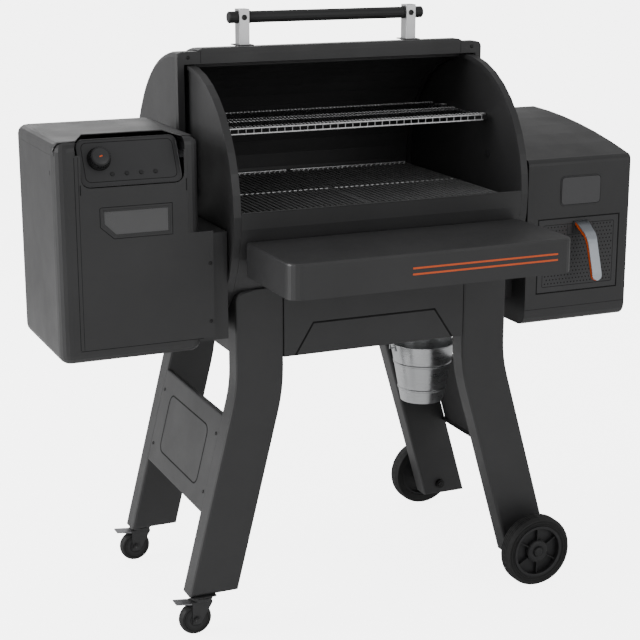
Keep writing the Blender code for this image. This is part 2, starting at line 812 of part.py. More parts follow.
def fire_parts():
    half = inside_half(TRAY_Z) - SEAT
    outline = [(-TRAY_HALF_X, -half), (TRAY_HALF_X, -half), (TRAY_HALF_X, half), (-TRAY_HALF_X, half)]
    tray = pan("grease_tray", outline, "Z", TRAY_Z, TRAY_LIP, SHEET, ENAMEL, 0.0)
    drain = facing("+Z", BUCKET_X, 0.0, TRAY_Z - BIG)
    cut(tray, cylinder("tray_drain", SPOUT_R, 2 * BIG, drain))
    rest = BARREL_Z - math.sqrt((BARREL_R - SHEET) ** 2 - BAFFLE_HALF_Y**2)
    y = BAFFLE_HALF_Y
    outline = [(-BAFFLE_HALF_X, -y), (BAFFLE_HALF_X, -y), (BAFFLE_HALF_X, y), (-BAFFLE_HALF_X, y)]
    depth = rest + 2 * RUN - BAFFLE_Z
    pan("heat_baffle", outline, "Z", BAFFLE_Z, depth, SHEET, ENAMEL, 0.0, (1, 3))
    floor = BARREL_Z - math.sqrt((BARREL_R - SHEET) ** 2 - POT_R**2) + RUN
    profile = [
        (0.0, SHEET),
        (POT_R - SHEET, SHEET),
        (POT_R - SHEET, POT_HEIGHT),
        (POT_R, POT_HEIGHT),
        (POT_R, 0.0),
        (0.0, 0.0),
    ]
    pot = turned("fire_pot", profile, facing("+Z", 0.0, 0.0, floor), ENAMEL, steps=20)
    inlet = facing("-X", 0.0, 0.0, AUGER_Z)
    cut(pot, cylinder("pot_inlet", AUGER_TUBE_BORE, POT_R + BIG, inlet, steps=24))


def drain_spout():
    under = BARREL_Z - BARREL_R - SEAT
    flange = 2 * SPOUT_R
    profile = [
        (SPOUT_BORE, under + 4 * SHEET),
        (SPOUT_R, under + 4 * SHEET),
        (SPOUT_R, under),
        (flange, under - SHEET),
        (flange, under - 2 * SHEET),
        (SPOUT_R, under - 2 * SHEET),
        (SPOUT_R, SPOUT_END_Z),
        (SPOUT_BORE, SPOUT_END_Z),
    ]
    spout = turned("drain_spout", profile, facing("+Z", BUCKET_X, 0.0, 0.0), ZINC, steps=14)
    hook_z = BAIL_TOP_Z - BAIL_R - SEAT - HOOK_R
    tip = (BUCKET_X, SPOUT_R + HOOK_REACH, hook_z + 3 * HOOK_R)
    bend = (BUCKET_X, SPOUT_R + HOOK_REACH - HOOK_R, hook_z)
    start = (BUCKET_X, (SPOUT_R + SPOUT_BORE) / 2, hook_z)
    join(spout, rod("bucket_hook", [start, bend, tip], HOOK_R))


# ---- Cart ----
def leg_outline(side, splay, foot_z):
    """(x, z) points down the outer edge and up the inner edge of a leg."""
    lean = math.radians(splay)
    outer, inner = [], []
    corner = (LEG_MID_X + LEG_WIDTH / 2 - LEG_TOP_R, LEG_TOP_Z - LEG_TOP_R)
    outer += arc(corner, LEG_TOP_R, 90, 0, 4)
    inner.append((LEG_MID_X - LEG_WIDTH / 2, LEG_TOP_Z))
    for edge, offset in ((outer, LEG_WIDTH / 2), (inner, -LEG_WIDTH / 2)):
        for step in range(5):
            turn = lean * step / 4
            along = LEG_BEND_R - offset
            x = LEG_MID_X + offset + along * (1 - math.cos(turn))
            edge.append((x, LEG_BEND_Z - along * math.sin(turn)))
        x, z = edge[-1]
        edge.append((x + (z - foot_z) * math.tan(lean), foot_z))
    return [(side * x, z) for x, z in outer + inner[::-1]]


def outer_edge_x(splay, z):
    """How far from the middle a leg's outer edge is at a height below its bend."""
    lean = math.radians(splay)
    along = LEG_BEND_R - LEG_WIDTH / 2
    x = LEG_MID_X + LEG_WIDTH / 2 + along * (1 - math.cos(lean))
    return x + (LEG_BEND_Z - along * math.sin(lean) - z) * math.tan(lean)


def under_barrel_cutter():
    start = facing("+X", -BARREL_HALF - BIG, 0.0, BARREL_Z)
    length = 2 * (BARREL_HALF + BIG)
    return cylinder("under_barrel", BARREL_R + RUN, length, start, steps=96)


def leg_face(end):
    """Where a leg's flat face is: all four are folded towards the back."""
    return -LEG_FACE_Y if end < 0 else LEG_FACE_Y - LEG_FLANGE


def legs(saddle):
    layout = (
        ("front_left_leg", -1, -1, SPLAY_LEFT, LEFT_FOOT_Z),
        ("front_right_leg", 1, -1, SPLAY_RIGHT, RIGHT_FOOT_Z),
        ("rear_left_leg", -1, 1, SPLAY_LEFT, LEFT_FOOT_Z),
        ("rear_right_leg", 1, 1, SPLAY_RIGHT, RIGHT_FOOT_Z),
    )
    for name, side, end, splay, foot_z in layout:
        outline = leg_outline(side, splay, foot_z)
        top_edge = (len(outline) - 1,)
        face_y = leg_face(end)
        leg = pan(name, outline, "Y", face_y, LEG_FLANGE, SHEET, POWDER, LEG_BEND_EDGE, top_edge)
        cut(leg, saddle)
        if side > 0:
            hole = facing("+Y", WHEEL_X, face_y - BIG, WHEEL_R)
            cut(leg, cylinder(f"{name}_hole", AXLE_R + SEAT, 2 * BIG, hole, steps=16))


def aprons_and_rails(saddle):
    half = LEG_MID_X - LEG_WIDTH / 2 - SEAT
    outline = [(-half, APRON_LOW_Z), (half, APRON_LOW_Z), (half, LEG_TOP_Z), (-half, LEG_TOP_Z)]
    for name, end in (("front_apron", -1), ("rear_apron", 1)):
        apron = pan(
            name, outline, "Y", end * LEG_FACE_Y, -end * LEG_FLANGE / 2, SHEET, POWDER, SHEET, (2,),
        )
        cut(apron, saddle)
    half = LEG_FACE_Y - LEG_FLANGE - SEAT
    outline = [(-half, RAIL_LOW_Z), (half, RAIL_LOW_Z), (half, LEG_TOP_Z), (-half, LEG_TOP_Z)]
    face = LEG_MID_X + LEG_WIDTH / 2
    for name, side in (("left_side_rail", -1), ("right_side_rail", 1)):
        rail = pan(
            name, outline, "X", side * face, -side * LEG_FLANGE / 2, SHEET, POWDER, LEG_BEND_EDGE,
            (1, 2, 3),
        )
        cut(rail, saddle)


def side_panels():
    half = LEG_FACE_Y - LEG_FLANGE - SEAT
    for name, side, splay in (("left_side_panel", -1, SPLAY_LEFT), ("right_side_panel", 1, SPLAY_RIGHT)):
        lean = math.radians(splay)
        height = (PANEL_TOP_Z - PANEL_LOW_Z) / math.cos(lean)
        outline = [(-half, -height), (half, -height), (half, 0.0), (-half, 0.0)]
        top = (side * outer_edge_x(splay, PANEL_TOP_Z), 0.0, PANEL_TOP_Z)
        pose = Matrix.Translation(top) @ Matrix.Rotation(-side * lean, 4, "Y")
        pan(
            name, outline, "X", 0.0, -side * PANEL_FLANGE, SHEET, POWDER, SHEET * 2,
            (1, 3), None, pose,
        )


# ---- Castors ----
def caster(name, end):
    swivel_y = end * CASTER_Y
    swivel = pivot(f"{name}_swivel", CASTER_X, swivel_y, LEFT_FOOT_Z)
    axle_x = CASTER_X - CASTER_TRAIL
    rolling = pivot(f"{name}_roll", axle_x, swivel_y, CASTER_R, swivel)
    inner = CASTER_WIDTH / 2 + RUN
    outer = inner + FORK_WALL
    back = axle_x - CASTER_AXLE_R * 2
    front = CASTER_X + FORK_COLLAR_R - SHEET
    fork_name = f"{name}_fork"
    outline = [
        (axle_x - CASTER_AXLE_R * 2, CASTER_R - CASTER_AXLE_R * 2),
        (axle_x + CASTER_AXLE_R * 2, CASTER_R - CASTER_AXLE_R * 2),
        (front, FORK_TOP_Z - FORK_WALL * 2),
        (front, FORK_TOP_Z),
        (back, FORK_TOP_Z),
    ]
    fork = prism(fork_name, [outline], "Y", swivel_y - outer, swivel_y + outer, POWDER, swivel)
    low = (back - BIG, swivel_y - inner, -BIG)
    high = (front + BIG, swivel_y + inner, FORK_TOP_Z - FORK_WALL)
    cut(fork, block(f"{fork_name}_slot", low, high, carrier=swivel))
    collar = cylinder(
        f"{fork_name}_collar", FORK_COLLAR_R, LEFT_FOOT_Z - SEAT - FORK_TOP_Z + SHEET / 2,
        facing("+Z", CASTER_X, swivel_y, FORK_TOP_Z - SHEET / 2), carrier=swivel, steps=16,
    )
    join(fork, collar)
    pin = facing("+Y", axle_x, swivel_y - outer - SHEET, CASTER_R)
    length = 2 * (outer + SHEET)
    join(fork, cylinder(f"{fork_name}_axle", CASTER_AXLE_R, length, pin, carrier=swivel, steps=10))
    half = CASTER_WIDTH / 2
    crown = CASTER_R - half / 3
    bore = CASTER_AXLE_R + RUN
    profile = [
        (bore, half),
        (crown, half),
        (CASTER_R, half * 0.45),
        (CASTER_R, -half * 0.45),
        (crown, -half),
        (bore, -half),
    ]
    pose = facing("+Y", axle_x, swivel_y, CASTER_R)
    turned(f"{name}_wheel", profile, pose, RUBBER, rolling, 24)
    brake(name, swivel_y, back, swivel)


def brake(name, swivel_y, back, swivel):
    """A foot pedal behind the fork: it turns down about its own pin, towards the wheel."""
    hinge_x = back - RUN - SEAT
    hinge_z = FORK_TOP_Z - FORK_WALL
    turning = pivot(f"{name}_brake_pin", hinge_x, swivel_y, hinge_z, swivel)
    half = CASTER_WIDTH / 2 + FORK_WALL
    outline = [
        (hinge_x, hinge_z - SHEET),
        (hinge_x, hinge_z + SHEET),
        (hinge_x - BRAKE_LENGTH, hinge_z + 3 * SHEET),
        (hinge_x - BRAKE_LENGTH - SHEET, hinge_z + 2 * SHEET),
    ]
    prism(f"{name}_brake", [outline], "Y", swivel_y - half, swivel_y + half, BRUSHED, turning)


# ---- Large wheels ----
def large_wheel(name, end):
    outward = "+Y" if end > 0 else "-Y"
    inner_y = WHEEL_OUTER_Y - WHEEL_WIDTH
    rolling = pivot(f"{name}_roll", WHEEL_X, end * (inner_y + WHEEL_WIDTH / 2), WHEEL_R)
    shoulder = WHEEL_R - WHEEL_WIDTH / 8
    profile = [
        (WHEEL_RIM_R + SEAT, WHEEL_WIDTH * 0.9),
        (shoulder, WHEEL_WIDTH),
        (WHEEL_R, WHEEL_WIDTH * 0.8),
        (WHEEL_R, WHEEL_WIDTH * 0.2),
        (shoulder, 0.0),
        (WHEEL_RIM_R + SEAT, WHEEL_WIDTH * 0.1),
    ]
    base = facing(outward, WHEEL_X, end * inner_y, WHEEL_R)
    turned(f"{name}_tyre", profile, base, RUBBER, rolling, WHEEL_STEPS)
    wheel_hub(name, base, rolling)
    web_outer = LEG_FACE_Y if end < 0 else LEG_FACE_Y - LEG_FLANGE + SHEET
    web_inner = web_outer - SHEET
    hub_inner = inner_y + WHEEL_WIDTH * WHEEL_FACES[0]
    hub_outer = inner_y + WHEEL_WIDTH * WHEEL_FACES[1]
    profile = [
        (0.0, WHEEL_OUTER_Y),
        (AXLE_HEAD_R, WHEEL_OUTER_Y),
        (AXLE_HEAD_R, hub_outer + SEAT),
        (AXLE_R, hub_outer + SEAT),
        (AXLE_R, hub_inner - SEAT),
        (AXLE_SPACER_R, hub_inner - SEAT),
        (AXLE_SPACER_R, web_outer + SEAT),
        (AXLE_R, web_outer + SEAT),
        (AXLE_R, web_inner - SEAT),
        (AXLE_HEAD_R, web_inner - SEAT),
        (AXLE_HEAD_R, web_inner - 4 * SHEET),
        (0.0, web_inner - 4 * SHEET),
    ]
    turned(f"{name}_axle", profile, facing(outward, WHEEL_X, 0.0, WHEEL_R), ZINC, steps=12)


# ---- Front shelf ----
def front_shelf():
    back = -BARREL_R - SHELF_SPACE
    low_z = SHELF_TOP_Z - SHELF_LIP
    fold = pivot("shelf_fold", 0.0, back, low_z)
    bm = box_bmesh((-SHELF_HALF, SHELF_FRONT, low_z), (SHELF_HALF, back, SHELF_TOP_Z))
    open_box(bm, (0, 0, -1))
    for x_side in (-1, 1):
        corner = (x_side * SHELF_HALF, SHELF_FRONT)
        round_edges(bm, lambda co: near(co.x, corner[0]) and near(co.y, corner[1]), SHELF_CORNER_R, 5)
    round_edges(bm, lambda co: near(co.z, SHELF_TOP_Z), SHELF_EDGE_R, 2)
    shelf = place("front_shelf", mesh_of("front_shelf", bm), POWDER, fold)
    thicken(shelf, SHEET)
    rail_back = -math.sqrt(BARREL_R**2 - (low_z - BARREL_Z) ** 2) - SEAT
    bm = box_bmesh(
        (-HINGE_RAIL_HALF, back + SEAT, low_z - SHELF_LIP / 4), (HINGE_RAIL_HALF, rail_back, low_z)
    )
    place("shelf_hinge_rail", mesh_of("shelf_hinge_rail", bm), POWDER)


def near(value, target):
    return abs(value - target) < TINY


# ---- Hopper ----
def hopper_body(name, carrier=None):
    """The hopper's whole hollow body, closed all round: its casing and its lid are each cut from one."""
    low = (HOPPER_LEFT, HOPPER_FRONT, HOPPER_LOW_Z)
    high = (HOPPER_RIGHT, HOPPER_BACK, HOPPER_TOP_Z)
    bm = box_bmesh(low, high)
    for x in (HOPPER_LEFT, HOPPER_RIGHT):
        for y in (HOPPER_FRONT, HOPPER_BACK):
            corner = (x, y)
            round_edges(
                bm, lambda co: near(co.x, corner[0]) and near(co.y, corner[1]), HOPPER_CORNER_R, 5
            )
    for z in (HOPPER_LOW_Z, HOPPER_TOP_Z):
        level = z
        round_edges(bm, lambda co: near(co.z, level), HOPPER_EDGE_R, 4)
    body = place(name, mesh_of(name, bm), POWDER, carrier)
    thicken(body, SHEET)
    return body


def lid_notch(name, low_z, carrier=None):
    """The room above the control panel, cut from the hopper's lid and from the casing's front edge."""
    outline = [
        (NOTCH_FRONT_LEFT, HOPPER_FRONT - BIG),
        (NOTCH_FRONT_RIGHT, HOPPER_FRONT - BIG),
        (NOTCH_FRONT_RIGHT, HOPPER_FRONT + SHEET),
        (NOTCH_BACK_RIGHT, NOTCH_BACK_Y),
        (NOTCH_BACK_LEFT, NOTCH_BACK_Y),
        (NOTCH_FRONT_LEFT, HOPPER_FRONT + SHEET),
    ]
    return prism(name, [outline], "Z", low_z, HOPPER_TOP_Z + BIG, carrier=carrier)


def hopper_casing():
    casing = hopper_body("hopper_casing")
    seam = HOPPER_FRONT + LID_SEAM - LID_GAP
    low = (HOPPER_LEFT - BIG, seam, HOPPER_LID_Z - SEAT)
    high = (HOPPER_RIGHT + BIG, HOPPER_BACK + BIG, HOPPER_TOP_Z + BIG)
    cut(casing, block("lid_room", low, high))
    cut(casing, lid_notch("casing_notch", HOPPER_LID_Z - SEAT))
    neck_end = -BARREL_HALF - SEAT
    outer = block(
        "hopper_neck", (HOPPER_RIGHT - 3 * SHEET, NECK_FRONT, NECK_LOW_Z), (neck_end, NECK_BACK, NECK_TOP_Z)
    )
    join(casing, outer)
    low = (HOPPER_RIGHT - BIG, NECK_FRONT + SHEET, NECK_LOW_Z + SHEET)
    high = (neck_end + BIG, NECK_BACK - SHEET, NECK_TOP_Z - SHEET)
    cut(casing, block("neck_way", low, high))
    front, back = HOPPER_FRONT - BIG, HOPPER_FRONT + SHEET + SEAT
    low = (FRONT_LEFT - SEAT, front, FRONT_LOW_Z - SEAT)
    cut(casing, block("low_opening", low, (FRONT_FLANGE_X + SEAT, back, FRONT_FLANGE_Z + SEAT)))
    low = (FRONT_LEFT - SEAT, front, FRONT_LOW_Z)
    cut(casing, block("top_opening", low, (FRONT_SPLIT_X + SEAT, back, HOPPER_LID_Z - SEAT)))
    floor = facing("+Z", FAN_X, FAN_Y, HOPPER_LOW_Z + SHEET / 2)
    join(casing, cylinder("fan_boss", FAN_BOSS_R, FAN_BOSS_Z - HOPPER_LOW_Z - SHEET / 2, floor, steps=20))


def window_outline(grow_by):
    left, right = WINDOW_LEFT - grow_by, WINDOW_RIGHT + grow_by
    low, top = WINDOW_LOW_Z - grow_by, WINDOW_TOP_Z + grow_by
    cut_off = WINDOW_CHAMFER
    return [(left + cut_off, low), (right, low), (right, top), (left, top), (left, low + cut_off)]


def hopper_front():
    top = HOPPER_LID_Z - SEAT
    gap = 2 * SHEET
    corner_r = PANEL_CORNER_R + gap
    left, right = PANEL_X - PANEL_HALF - SHEET, PANEL_X + PANEL_HALF + SHEET
    low = PANEL_FOOT_Z - SHEET
    outline = [
        (FRONT_LEFT, FRONT_LOW_Z),
        (FRONT_FLANGE_X, FRONT_LOW_Z),
        (FRONT_FLANGE_X, FRONT_FLANGE_Z),
        (FRONT_SPLIT_X, FRONT_FLANGE_Z),
        (FRONT_SPLIT_X, top),
        (right, top),
        *arc((right - corner_r, low + corner_r), corner_r, 0, -90, 4),
        *arc((left + corner_r, low + corner_r), corner_r, -90, -180, 4),
        (left, top),
        (FRONT_LEFT, top),
    ]
    hole = window_outline(SEAT)
    prism("hopper_front", [outline, hole], "Y", HOPPER_FRONT, HOPPER_FRONT + SHEET, POWDER)
    sunk = HOPPER_FRONT + SHEET / 4
    prism("hopper_window", [window_outline(0.0)], "Y", sunk, sunk + 2 * SHEET, GLASS)


def hopper_lid():
    hinge = pivot("hopper_lid_hinge", (HOPPER_LEFT + HOPPER_RIGHT) / 2, HOPPER_BACK, HOPPER_LID_Z)
    top = hopper_body("hopper_lid", hinge)
    low = (HOPPER_LEFT - BIG, HOPPER_FRONT - BIG, HOPPER_LOW_Z - BIG)
    cut(top, block("under_lid", low, (HOPPER_RIGHT + BIG, HOPPER_BACK + BIG, HOPPER_LID_Z), carrier=hinge))
    high = (HOPPER_RIGHT + BIG, HOPPER_FRONT + LID_SEAM, HOPPER_TOP_Z + BIG)
    cut(top, block("before_lid", low, high, carrier=hinge))
    cut(top, lid_notch("lid_notch", HOPPER_LID_Z - BIG, hinge))


def panel_pose(x, up):
    """A pose on the control panel's face: its own Z points out of the face."""
    lean = math.radians(PANEL_TILT)
    foot = Vector((x, HOPPER_FRONT + SHEET / 2, PANEL_FOOT_Z))
    foot += Vector((0.0, math.sin(lean), math.cos(lean))) * up
    return Matrix.Translation(foot) @ Matrix.Rotation(math.radians(90) - lean, 4, "X")


def controls():
    outline = rounded_rectangle(-PANEL_HALF, PANEL_HALF, 0.0, PANEL_HEIGHT, PANEL_CORNER_R)
    outlines = [outline, arc((KNOB_X - PANEL_X, KNOB_UP), BAR_NECK_R + SEAT, 0, 360, 16)[:-1]]
    places = [BUTTON_FIRST_X + index * BUTTON_PITCH for index in range(BUTTON_COUNT)]
    for x in places:
        outlines.append(arc((x - PANEL_X, BUTTON_UP), BUTTON_R + SEAT, 0, 360, 12)[:-1])
    prism("control_panel", outlines, "Z", -PANEL_THICK, 0.0, SATIN, None, panel_pose(PANEL_X, 0.0))
    pose = panel_pose(KNOB_X, KNOB_UP)
    dial = pivot("knob_axis", *pose.translation)
    profile = [
        (0.0, KNOB_HEIGHT),
        (KNOB_R - 2 * SHEET, KNOB_HEIGHT),
        (KNOB_R - SHEET, KNOB_HEIGHT - SHEET / 2),
        (KNOB_R, 2 * SHEET),
        (KNOB_R, SEAT * 2),
        (BAR_NECK_R, SEAT * 2),
        (BAR_NECK_R, -PANEL_THICK),
        (0.0, -PANEL_THICK),
    ]
    turned("control_knob", profile, pose, DARK, dial, 20)
    for index, x in enumerate(places):
        pose = panel_pose(x, BUTTON_UP)
        sliding = pivot(f"button_{index + 1}_axis", *pose.translation)
        drop = pose @ Matrix.Translation((0.0, 0.0, BUTTON_PROUD - BUTTON_LENGTH))
        cylinder(f"button_{index + 1}", BUTTON_R, BUTTON_LENGTH, drop, DARK, sliding, 12)


def hopper_bin():
    rim_left, rim_right = HOPPER_LEFT + SHEET + SEAT, HOPPER_RIGHT - SHEET - SEAT
    rim_back = HOPPER_BACK - SHEET - SEAT
    lean = math.tan(math.radians(PANEL_TILT))
    behind_panel = PANEL_THICK / math.cos(math.radians(PANEL_TILT)) + SHEET
    rim_front = HOPPER_FRONT + SHEET / 2 + (BIN_FLANGE_Z - PANEL_FOOT_Z) * lean + behind_panel
    rim = [
        (rim_left, rim_front),
        (rim_right, rim_front),
        (rim_right, rim_back - HOPPER_CORNER_R),
        (rim_right - HOPPER_CORNER_R, rim_back),
        (rim_left + HOPPER_CORNER_R, rim_back),
        (rim_left, rim_back - HOPPER_CORNER_R),
    ]
    mouth = [
        (BIN_MOUTH_LEFT, BIN_MOUTH_FRONT),
        (BIN_MOUTH_RIGHT, BIN_MOUTH_FRONT),
        (BIN_MOUTH_RIGHT, BIN_MOUTH_BACK),
        (BIN_MOUTH_LEFT, BIN_MOUTH_BACK),
    ]
    flange = prism("hopper_bin", [rim, mouth], "Z", BIN_FLANGE_Z, BIN_FLANGE_Z + SHEET, ZINC)
    low = (BIN_MOUTH_LEFT - SHEET, BIN_MOUTH_FRONT - SHEET, BIN_FLOOR_Z)
    high = (BIN_MOUTH_RIGHT + SHEET, BIN_MOUTH_BACK + SHEET, BIN_FLANGE_Z + SHEET / 2)
    funnel = funnel_solid("bin_funnel", low, high, BIN_THROAT + SHEET)
    inside = funnel_solid(
        "bin_inside",
        (BIN_MOUTH_LEFT, BIN_MOUTH_FRONT, BIN_FLOOR_Z - SHEET),
        (BIN_MOUTH_RIGHT, BIN_MOUTH_BACK, BIN_FLANGE_Z + 2 * SHEET),
        BIN_THROAT,
    )
    tube_end = -POT_R - RUN
    start = facing("+X", AUGER_LEFT, 0.0, AUGER_Z)
    tube = cylinder("auger_tube", AUGER_TUBE_R, tube_end - AUGER_LEFT, start, steps=24)
    start = facing("+X", AUGER_LEFT - BIG, 0.0, AUGER_Z)
    bore = cylinder("auger_bore", AUGER_TUBE_BORE, tube_end - AUGER_LEFT + 2 * BIG, start, steps=24)
    join(flange, funnel)
    join(flange, tube)
    cut(flange, inside)
    cut(flange, bore)


def funnel_solid(name, low, high, throat):
    """A box whose lower face is drawn in to a throat over the auger."""
    bm = box_bmesh(low, high)
    middle = (low[0] + high[0]) / 2
    for vert in bm.verts:
        if near(vert.co.z, low[2]):
            vert.co.x = middle + math.copysign(throat * 3, vert.co.x - middle)
            vert.co.y = math.copysign(throat, vert.co.y)
    return place(name, mesh_of(name, bm), None)


def auger():
    feed = pivot("auger_axis", AUGER_LEFT, 0.0, AUGER_Z)
    length = AUGER_PITCH * AUGER_TURNS
    shaft_start = AUGER_LEFT - 2 * SHEET
    start = facing("+X", shaft_start, 0.0, AUGER_Z)
    shaft = cylinder("auger", AUGER_SHAFT_R, length + 8 * SHEET, start, ZINC, feed, 10)
    half, root = SHEET / 2, AUGER_SHAFT_R - SHEET
    section = [(-half, root), (-half, AUGER_FLIGHT_R), (half, AUGER_FLIGHT_R), (half, root)]
    bm = bmesh.new()
    end = [bm.faces.new([bm.verts.new((x, 0.0, z)) for x, z in section])]
    steps = 8
    bmesh.ops.spin(
        bm,
        geom=end,
        cent=(0, 0, 0),
        axis=(1, 0, 0),
        dvec=(AUGER_PITCH / steps, 0, 0),
        angle=math.radians(360) * AUGER_TURNS,
        steps=steps * AUGER_TURNS,
        use_duplicate=False,
    )
    bmesh.ops.recalc_face_normals(bm, faces=bm.faces)
    pose = Matrix.Translation((AUGER_LEFT + 3 * SHEET, 0.0, AUGER_Z))
    join(shaft, place("auger_flight", mesh_of("auger_flight", bm), None, feed, pose))


def drive_parts():
    auger()
    right = AUGER_LEFT - 2 * SHEET - SEAT
    low = (right - MOTOR_LENGTH, -MOTOR_HALF, HOPPER_LOW_Z + SHEET + SEAT)
    high = (right, MOTOR_HALF, AUGER_Z + MOTOR_HALF)
    block("auger_motor", low, high, DARK, None, SHEET * 2)
    spinning = pivot("fan_axis", FAN_X, FAN_Y, FAN_BOSS_Z)
    points = []
    step = 360 / FAN_BLADES
    for blade in range(FAN_BLADES):
        first = blade * step
        points += arc((FAN_X, FAN_Y), FAN_R, first, first + step / 4, 1)
        points += arc((FAN_X, FAN_Y), FAN_R / 2, first + step / 2, first + step * 3 / 4, 1)
    base = FAN_BOSS_Z + SEAT
    prism("combustion_fan", [points], "Z", base, base + FAN_THICK, ZINC, spinning)


# ---- Side cupboard ----
def cupboard_outline(inset):
    """(y, z) points round the cupboard's side, drawn in by the inset."""
    front, back = BOX_FRONT + inset, BOX_BACK - inset
    low = BOX_LOW_Z + inset
    edge = max(BOX_EDGE_R - inset, SHEET)
    corner = BOX_CORNER_R - inset
    points = arc((front + corner, low + corner), corner, 180, 270, 4)
    points += arc((back - corner, low + corner), corner, 270, 360, 4)
    crown = []
    for step in range(7):
        y = back - (back - front - edge) * step / 6
        crown.append((y, BOX_CROWN_Z - BOX_CROWN * (BOX_CROWN_Y - y) ** 2 - inset))
    y, z = crown[-1]
    return points + crown + arc((y, z - edge), edge, 115, 180, 3)


def side_box():
    casing = prism("side_box_casing", [cupboard_outline(0.0)], "X", BOX_LEFT, BOX_RIGHT, POWDER)
    low = (BARREL_HALF + SEAT, -BOX_NECK_HALF, NECK_LOW_Z)
    high = (BOX_LEFT + SHEET / 2, BOX_NECK_HALF, NECK_TOP_Z)
    join(casing, block("box_neck", low, high))
    inside = prism("box_inside", [cupboard_outline(SHEET)], "X", BOX_LEFT + SHEET, BOX_RIGHT - SHEET)
    cut(casing, inside)
    low = (BARREL_HALF - BIG, -BOX_NECK_HALF + SHEET, NECK_LOW_Z + SHEET)
    high = (BOX_LEFT + SHEET / 2, BOX_NECK_HALF - SHEET, NECK_TOP_Z - SHEET)
    cut(casing, block("box_neck_way", low, high))
    low = (DOOR_LEFT - DOOR_GAP, BOX_FRONT - BIG, DOOR_LOW_Z - DOOR_GAP)
    high = (DOOR_RIGHT + DOOR_GAP, BOX_FRONT + BIG, DOOR_TOP_Z + DOOR_GAP)
    cut(casing, block("door_opening", low, high))
    outline = rounded_rectangle(BADGE_LEFT, BADGE_RIGHT, BADGE_LOW_Z, BADGE_TOP_Z, BADGE_CORNER_R)
    front = BOX_FRONT - SEAT
    prism("badge_plate", [outline], "Y", front - BADGE_THICK, front, BADGE)
    hinge = pivot("side_door_hinge", (DOOR_LEFT + DOOR_RIGHT) / 2, BOX_FRONT, DOOR_LOW_Z)
    outline = [(DOOR_LEFT, DOOR_LOW_Z), (DOOR_RIGHT, DOOR_LOW_Z)]
    outline += [(DOOR_RIGHT, DOOR_TOP_Z), (DOOR_LEFT, DOOR_TOP_Z)]
    pan("side_box_door", outline, "Y", BOX_FRONT, DOOR_THICK, SHEET, SATIN, SHEET / 2, (), hinge)
    door_handle(hinge)


def door_handle(hinge):
    """A bent strap: it leans out from the door's top and then hangs."""
    face = BOX_FRONT - SEAT
    top = DOOR_TOP_Z - 4 * SHEET
    bend, foot = face - PULL_BEND_OUT, face - PULL_FOOT_OUT
    bend_z, foot_z = top - PULL_BEND_DROP, top - PULL_FOOT_DROP
    outer = [(face, top), (bend, bend_z), (foot, foot_z)]
    inner = [
        (foot + PULL_THICK, foot_z),
        (bend + PULL_THICK, bend_z - PULL_THICK / 2),
        (face, top - PULL_ROOT),
    ]
    left, right = PULL_X - PULL_WIDTH / 2, PULL_X + PULL_WIDTH / 2
    prism("door_handle", [outer + inner], "X", left, right, BRUSHED, hinge)


# ---- Grease bucket ----
def bucket():
    """The pail hangs straight down from the hook beside the spout, which still drips into it."""
    middle_y = SPOUT_R + HOOK_REACH / 2
    hanging = pivot("bail_hook", BUCKET_X, middle_y, BAIL_TOP_Z)
    ear_z = BUCKET_TOP_Z - EAR_DROP
    tipping = pivot("bucket_ears", BUCKET_X, middle_y, ear_z, hanging)
    slope = (BUCKET_R - BUCKET_FOOT_R) / BUCKET_HEIGHT

    def wall_at(height):
        return BUCKET_FOOT_R + slope * height

    first, second = BUCKET_HEIGHT * 0.40, BUCKET_HEIGHT * 0.86
    outside = [(BUCKET_FOOT_R, 0.0)]
    for middle in (first, second):
        for offset, out in ((-BEAD, 0.0), (0.0, BEAD), (BEAD, 0.0)):
            outside.append((wall_at(middle + offset) + out, middle + offset))
    outside.append((BUCKET_R, BUCKET_HEIGHT))
    inside = [(radius - BUCKET_WALL, height) for radius, height in outside[1:]]
    profile = [(0.0, 0.0)] + outside + inside[::-1]
    profile += [(BUCKET_FOOT_R - BUCKET_WALL, BUCKET_WALL), (0.0, BUCKET_WALL)]
    pose = facing("+Z", BUCKET_X, middle_y, BUCKET_TOP_Z - BUCKET_HEIGHT)
    pail = turned("grease_bucket", profile, pose, ZINC, tipping, 24)
    wall = wall_at(BUCKET_HEIGHT - EAR_DROP)
    ear_length = 3 * EAR_R / 2
    for side, axis in ((-1, "-X"), (1, "+X")):
        start = facing(axis, BUCKET_X + side * (wall - BUCKET_WALL / 2), middle_y, ear_z)
        join(pail, cylinder(f"ear_{side}", EAR_R, ear_length, start, carrier=tipping, steps=10))
        start = facing(axis, BUCKET_X + side * (wall + BUCKET_WALL), middle_y, ear_z)
        bore = cylinder(f"ear_bore_{side}", BAIL_R + SEAT * 2, BIG, start, carrier=tipping, steps=10)
        cut(pail, bore)
    pin_x = wall + BUCKET_WALL + BAIL_R
    side_x = wall + ear_length + 2 * BAIL_R
    bail(hanging, pin_x, side_x, middle_y, ear_z)


def bail(hanging, pin_x, side_x, middle_y, ear_z):
    """The wire handle: a pin in each ear, up both sides, and over the hook."""
    rise = BAIL_TOP_Z - ear_z
    points = [(BUCKET_X - pin_x, middle_y, ear_z), (BUCKET_X - side_x, middle_y, ear_z)]
    steps = 14
    for step in range(1, steps):
        angle = math.pi * (1 - step / steps)
        x = BUCKET_X + side_x * math.cos(angle)
        points.append((x, middle_y, ear_z + rise * math.sin(angle)))
    points += [(BUCKET_X + side_x, middle_y, ear_z), (BUCKET_X + pin_x, middle_y, ear_z)]
    rod("bucket_bail", points, BAIL_R, ZINC, hanging, 1)


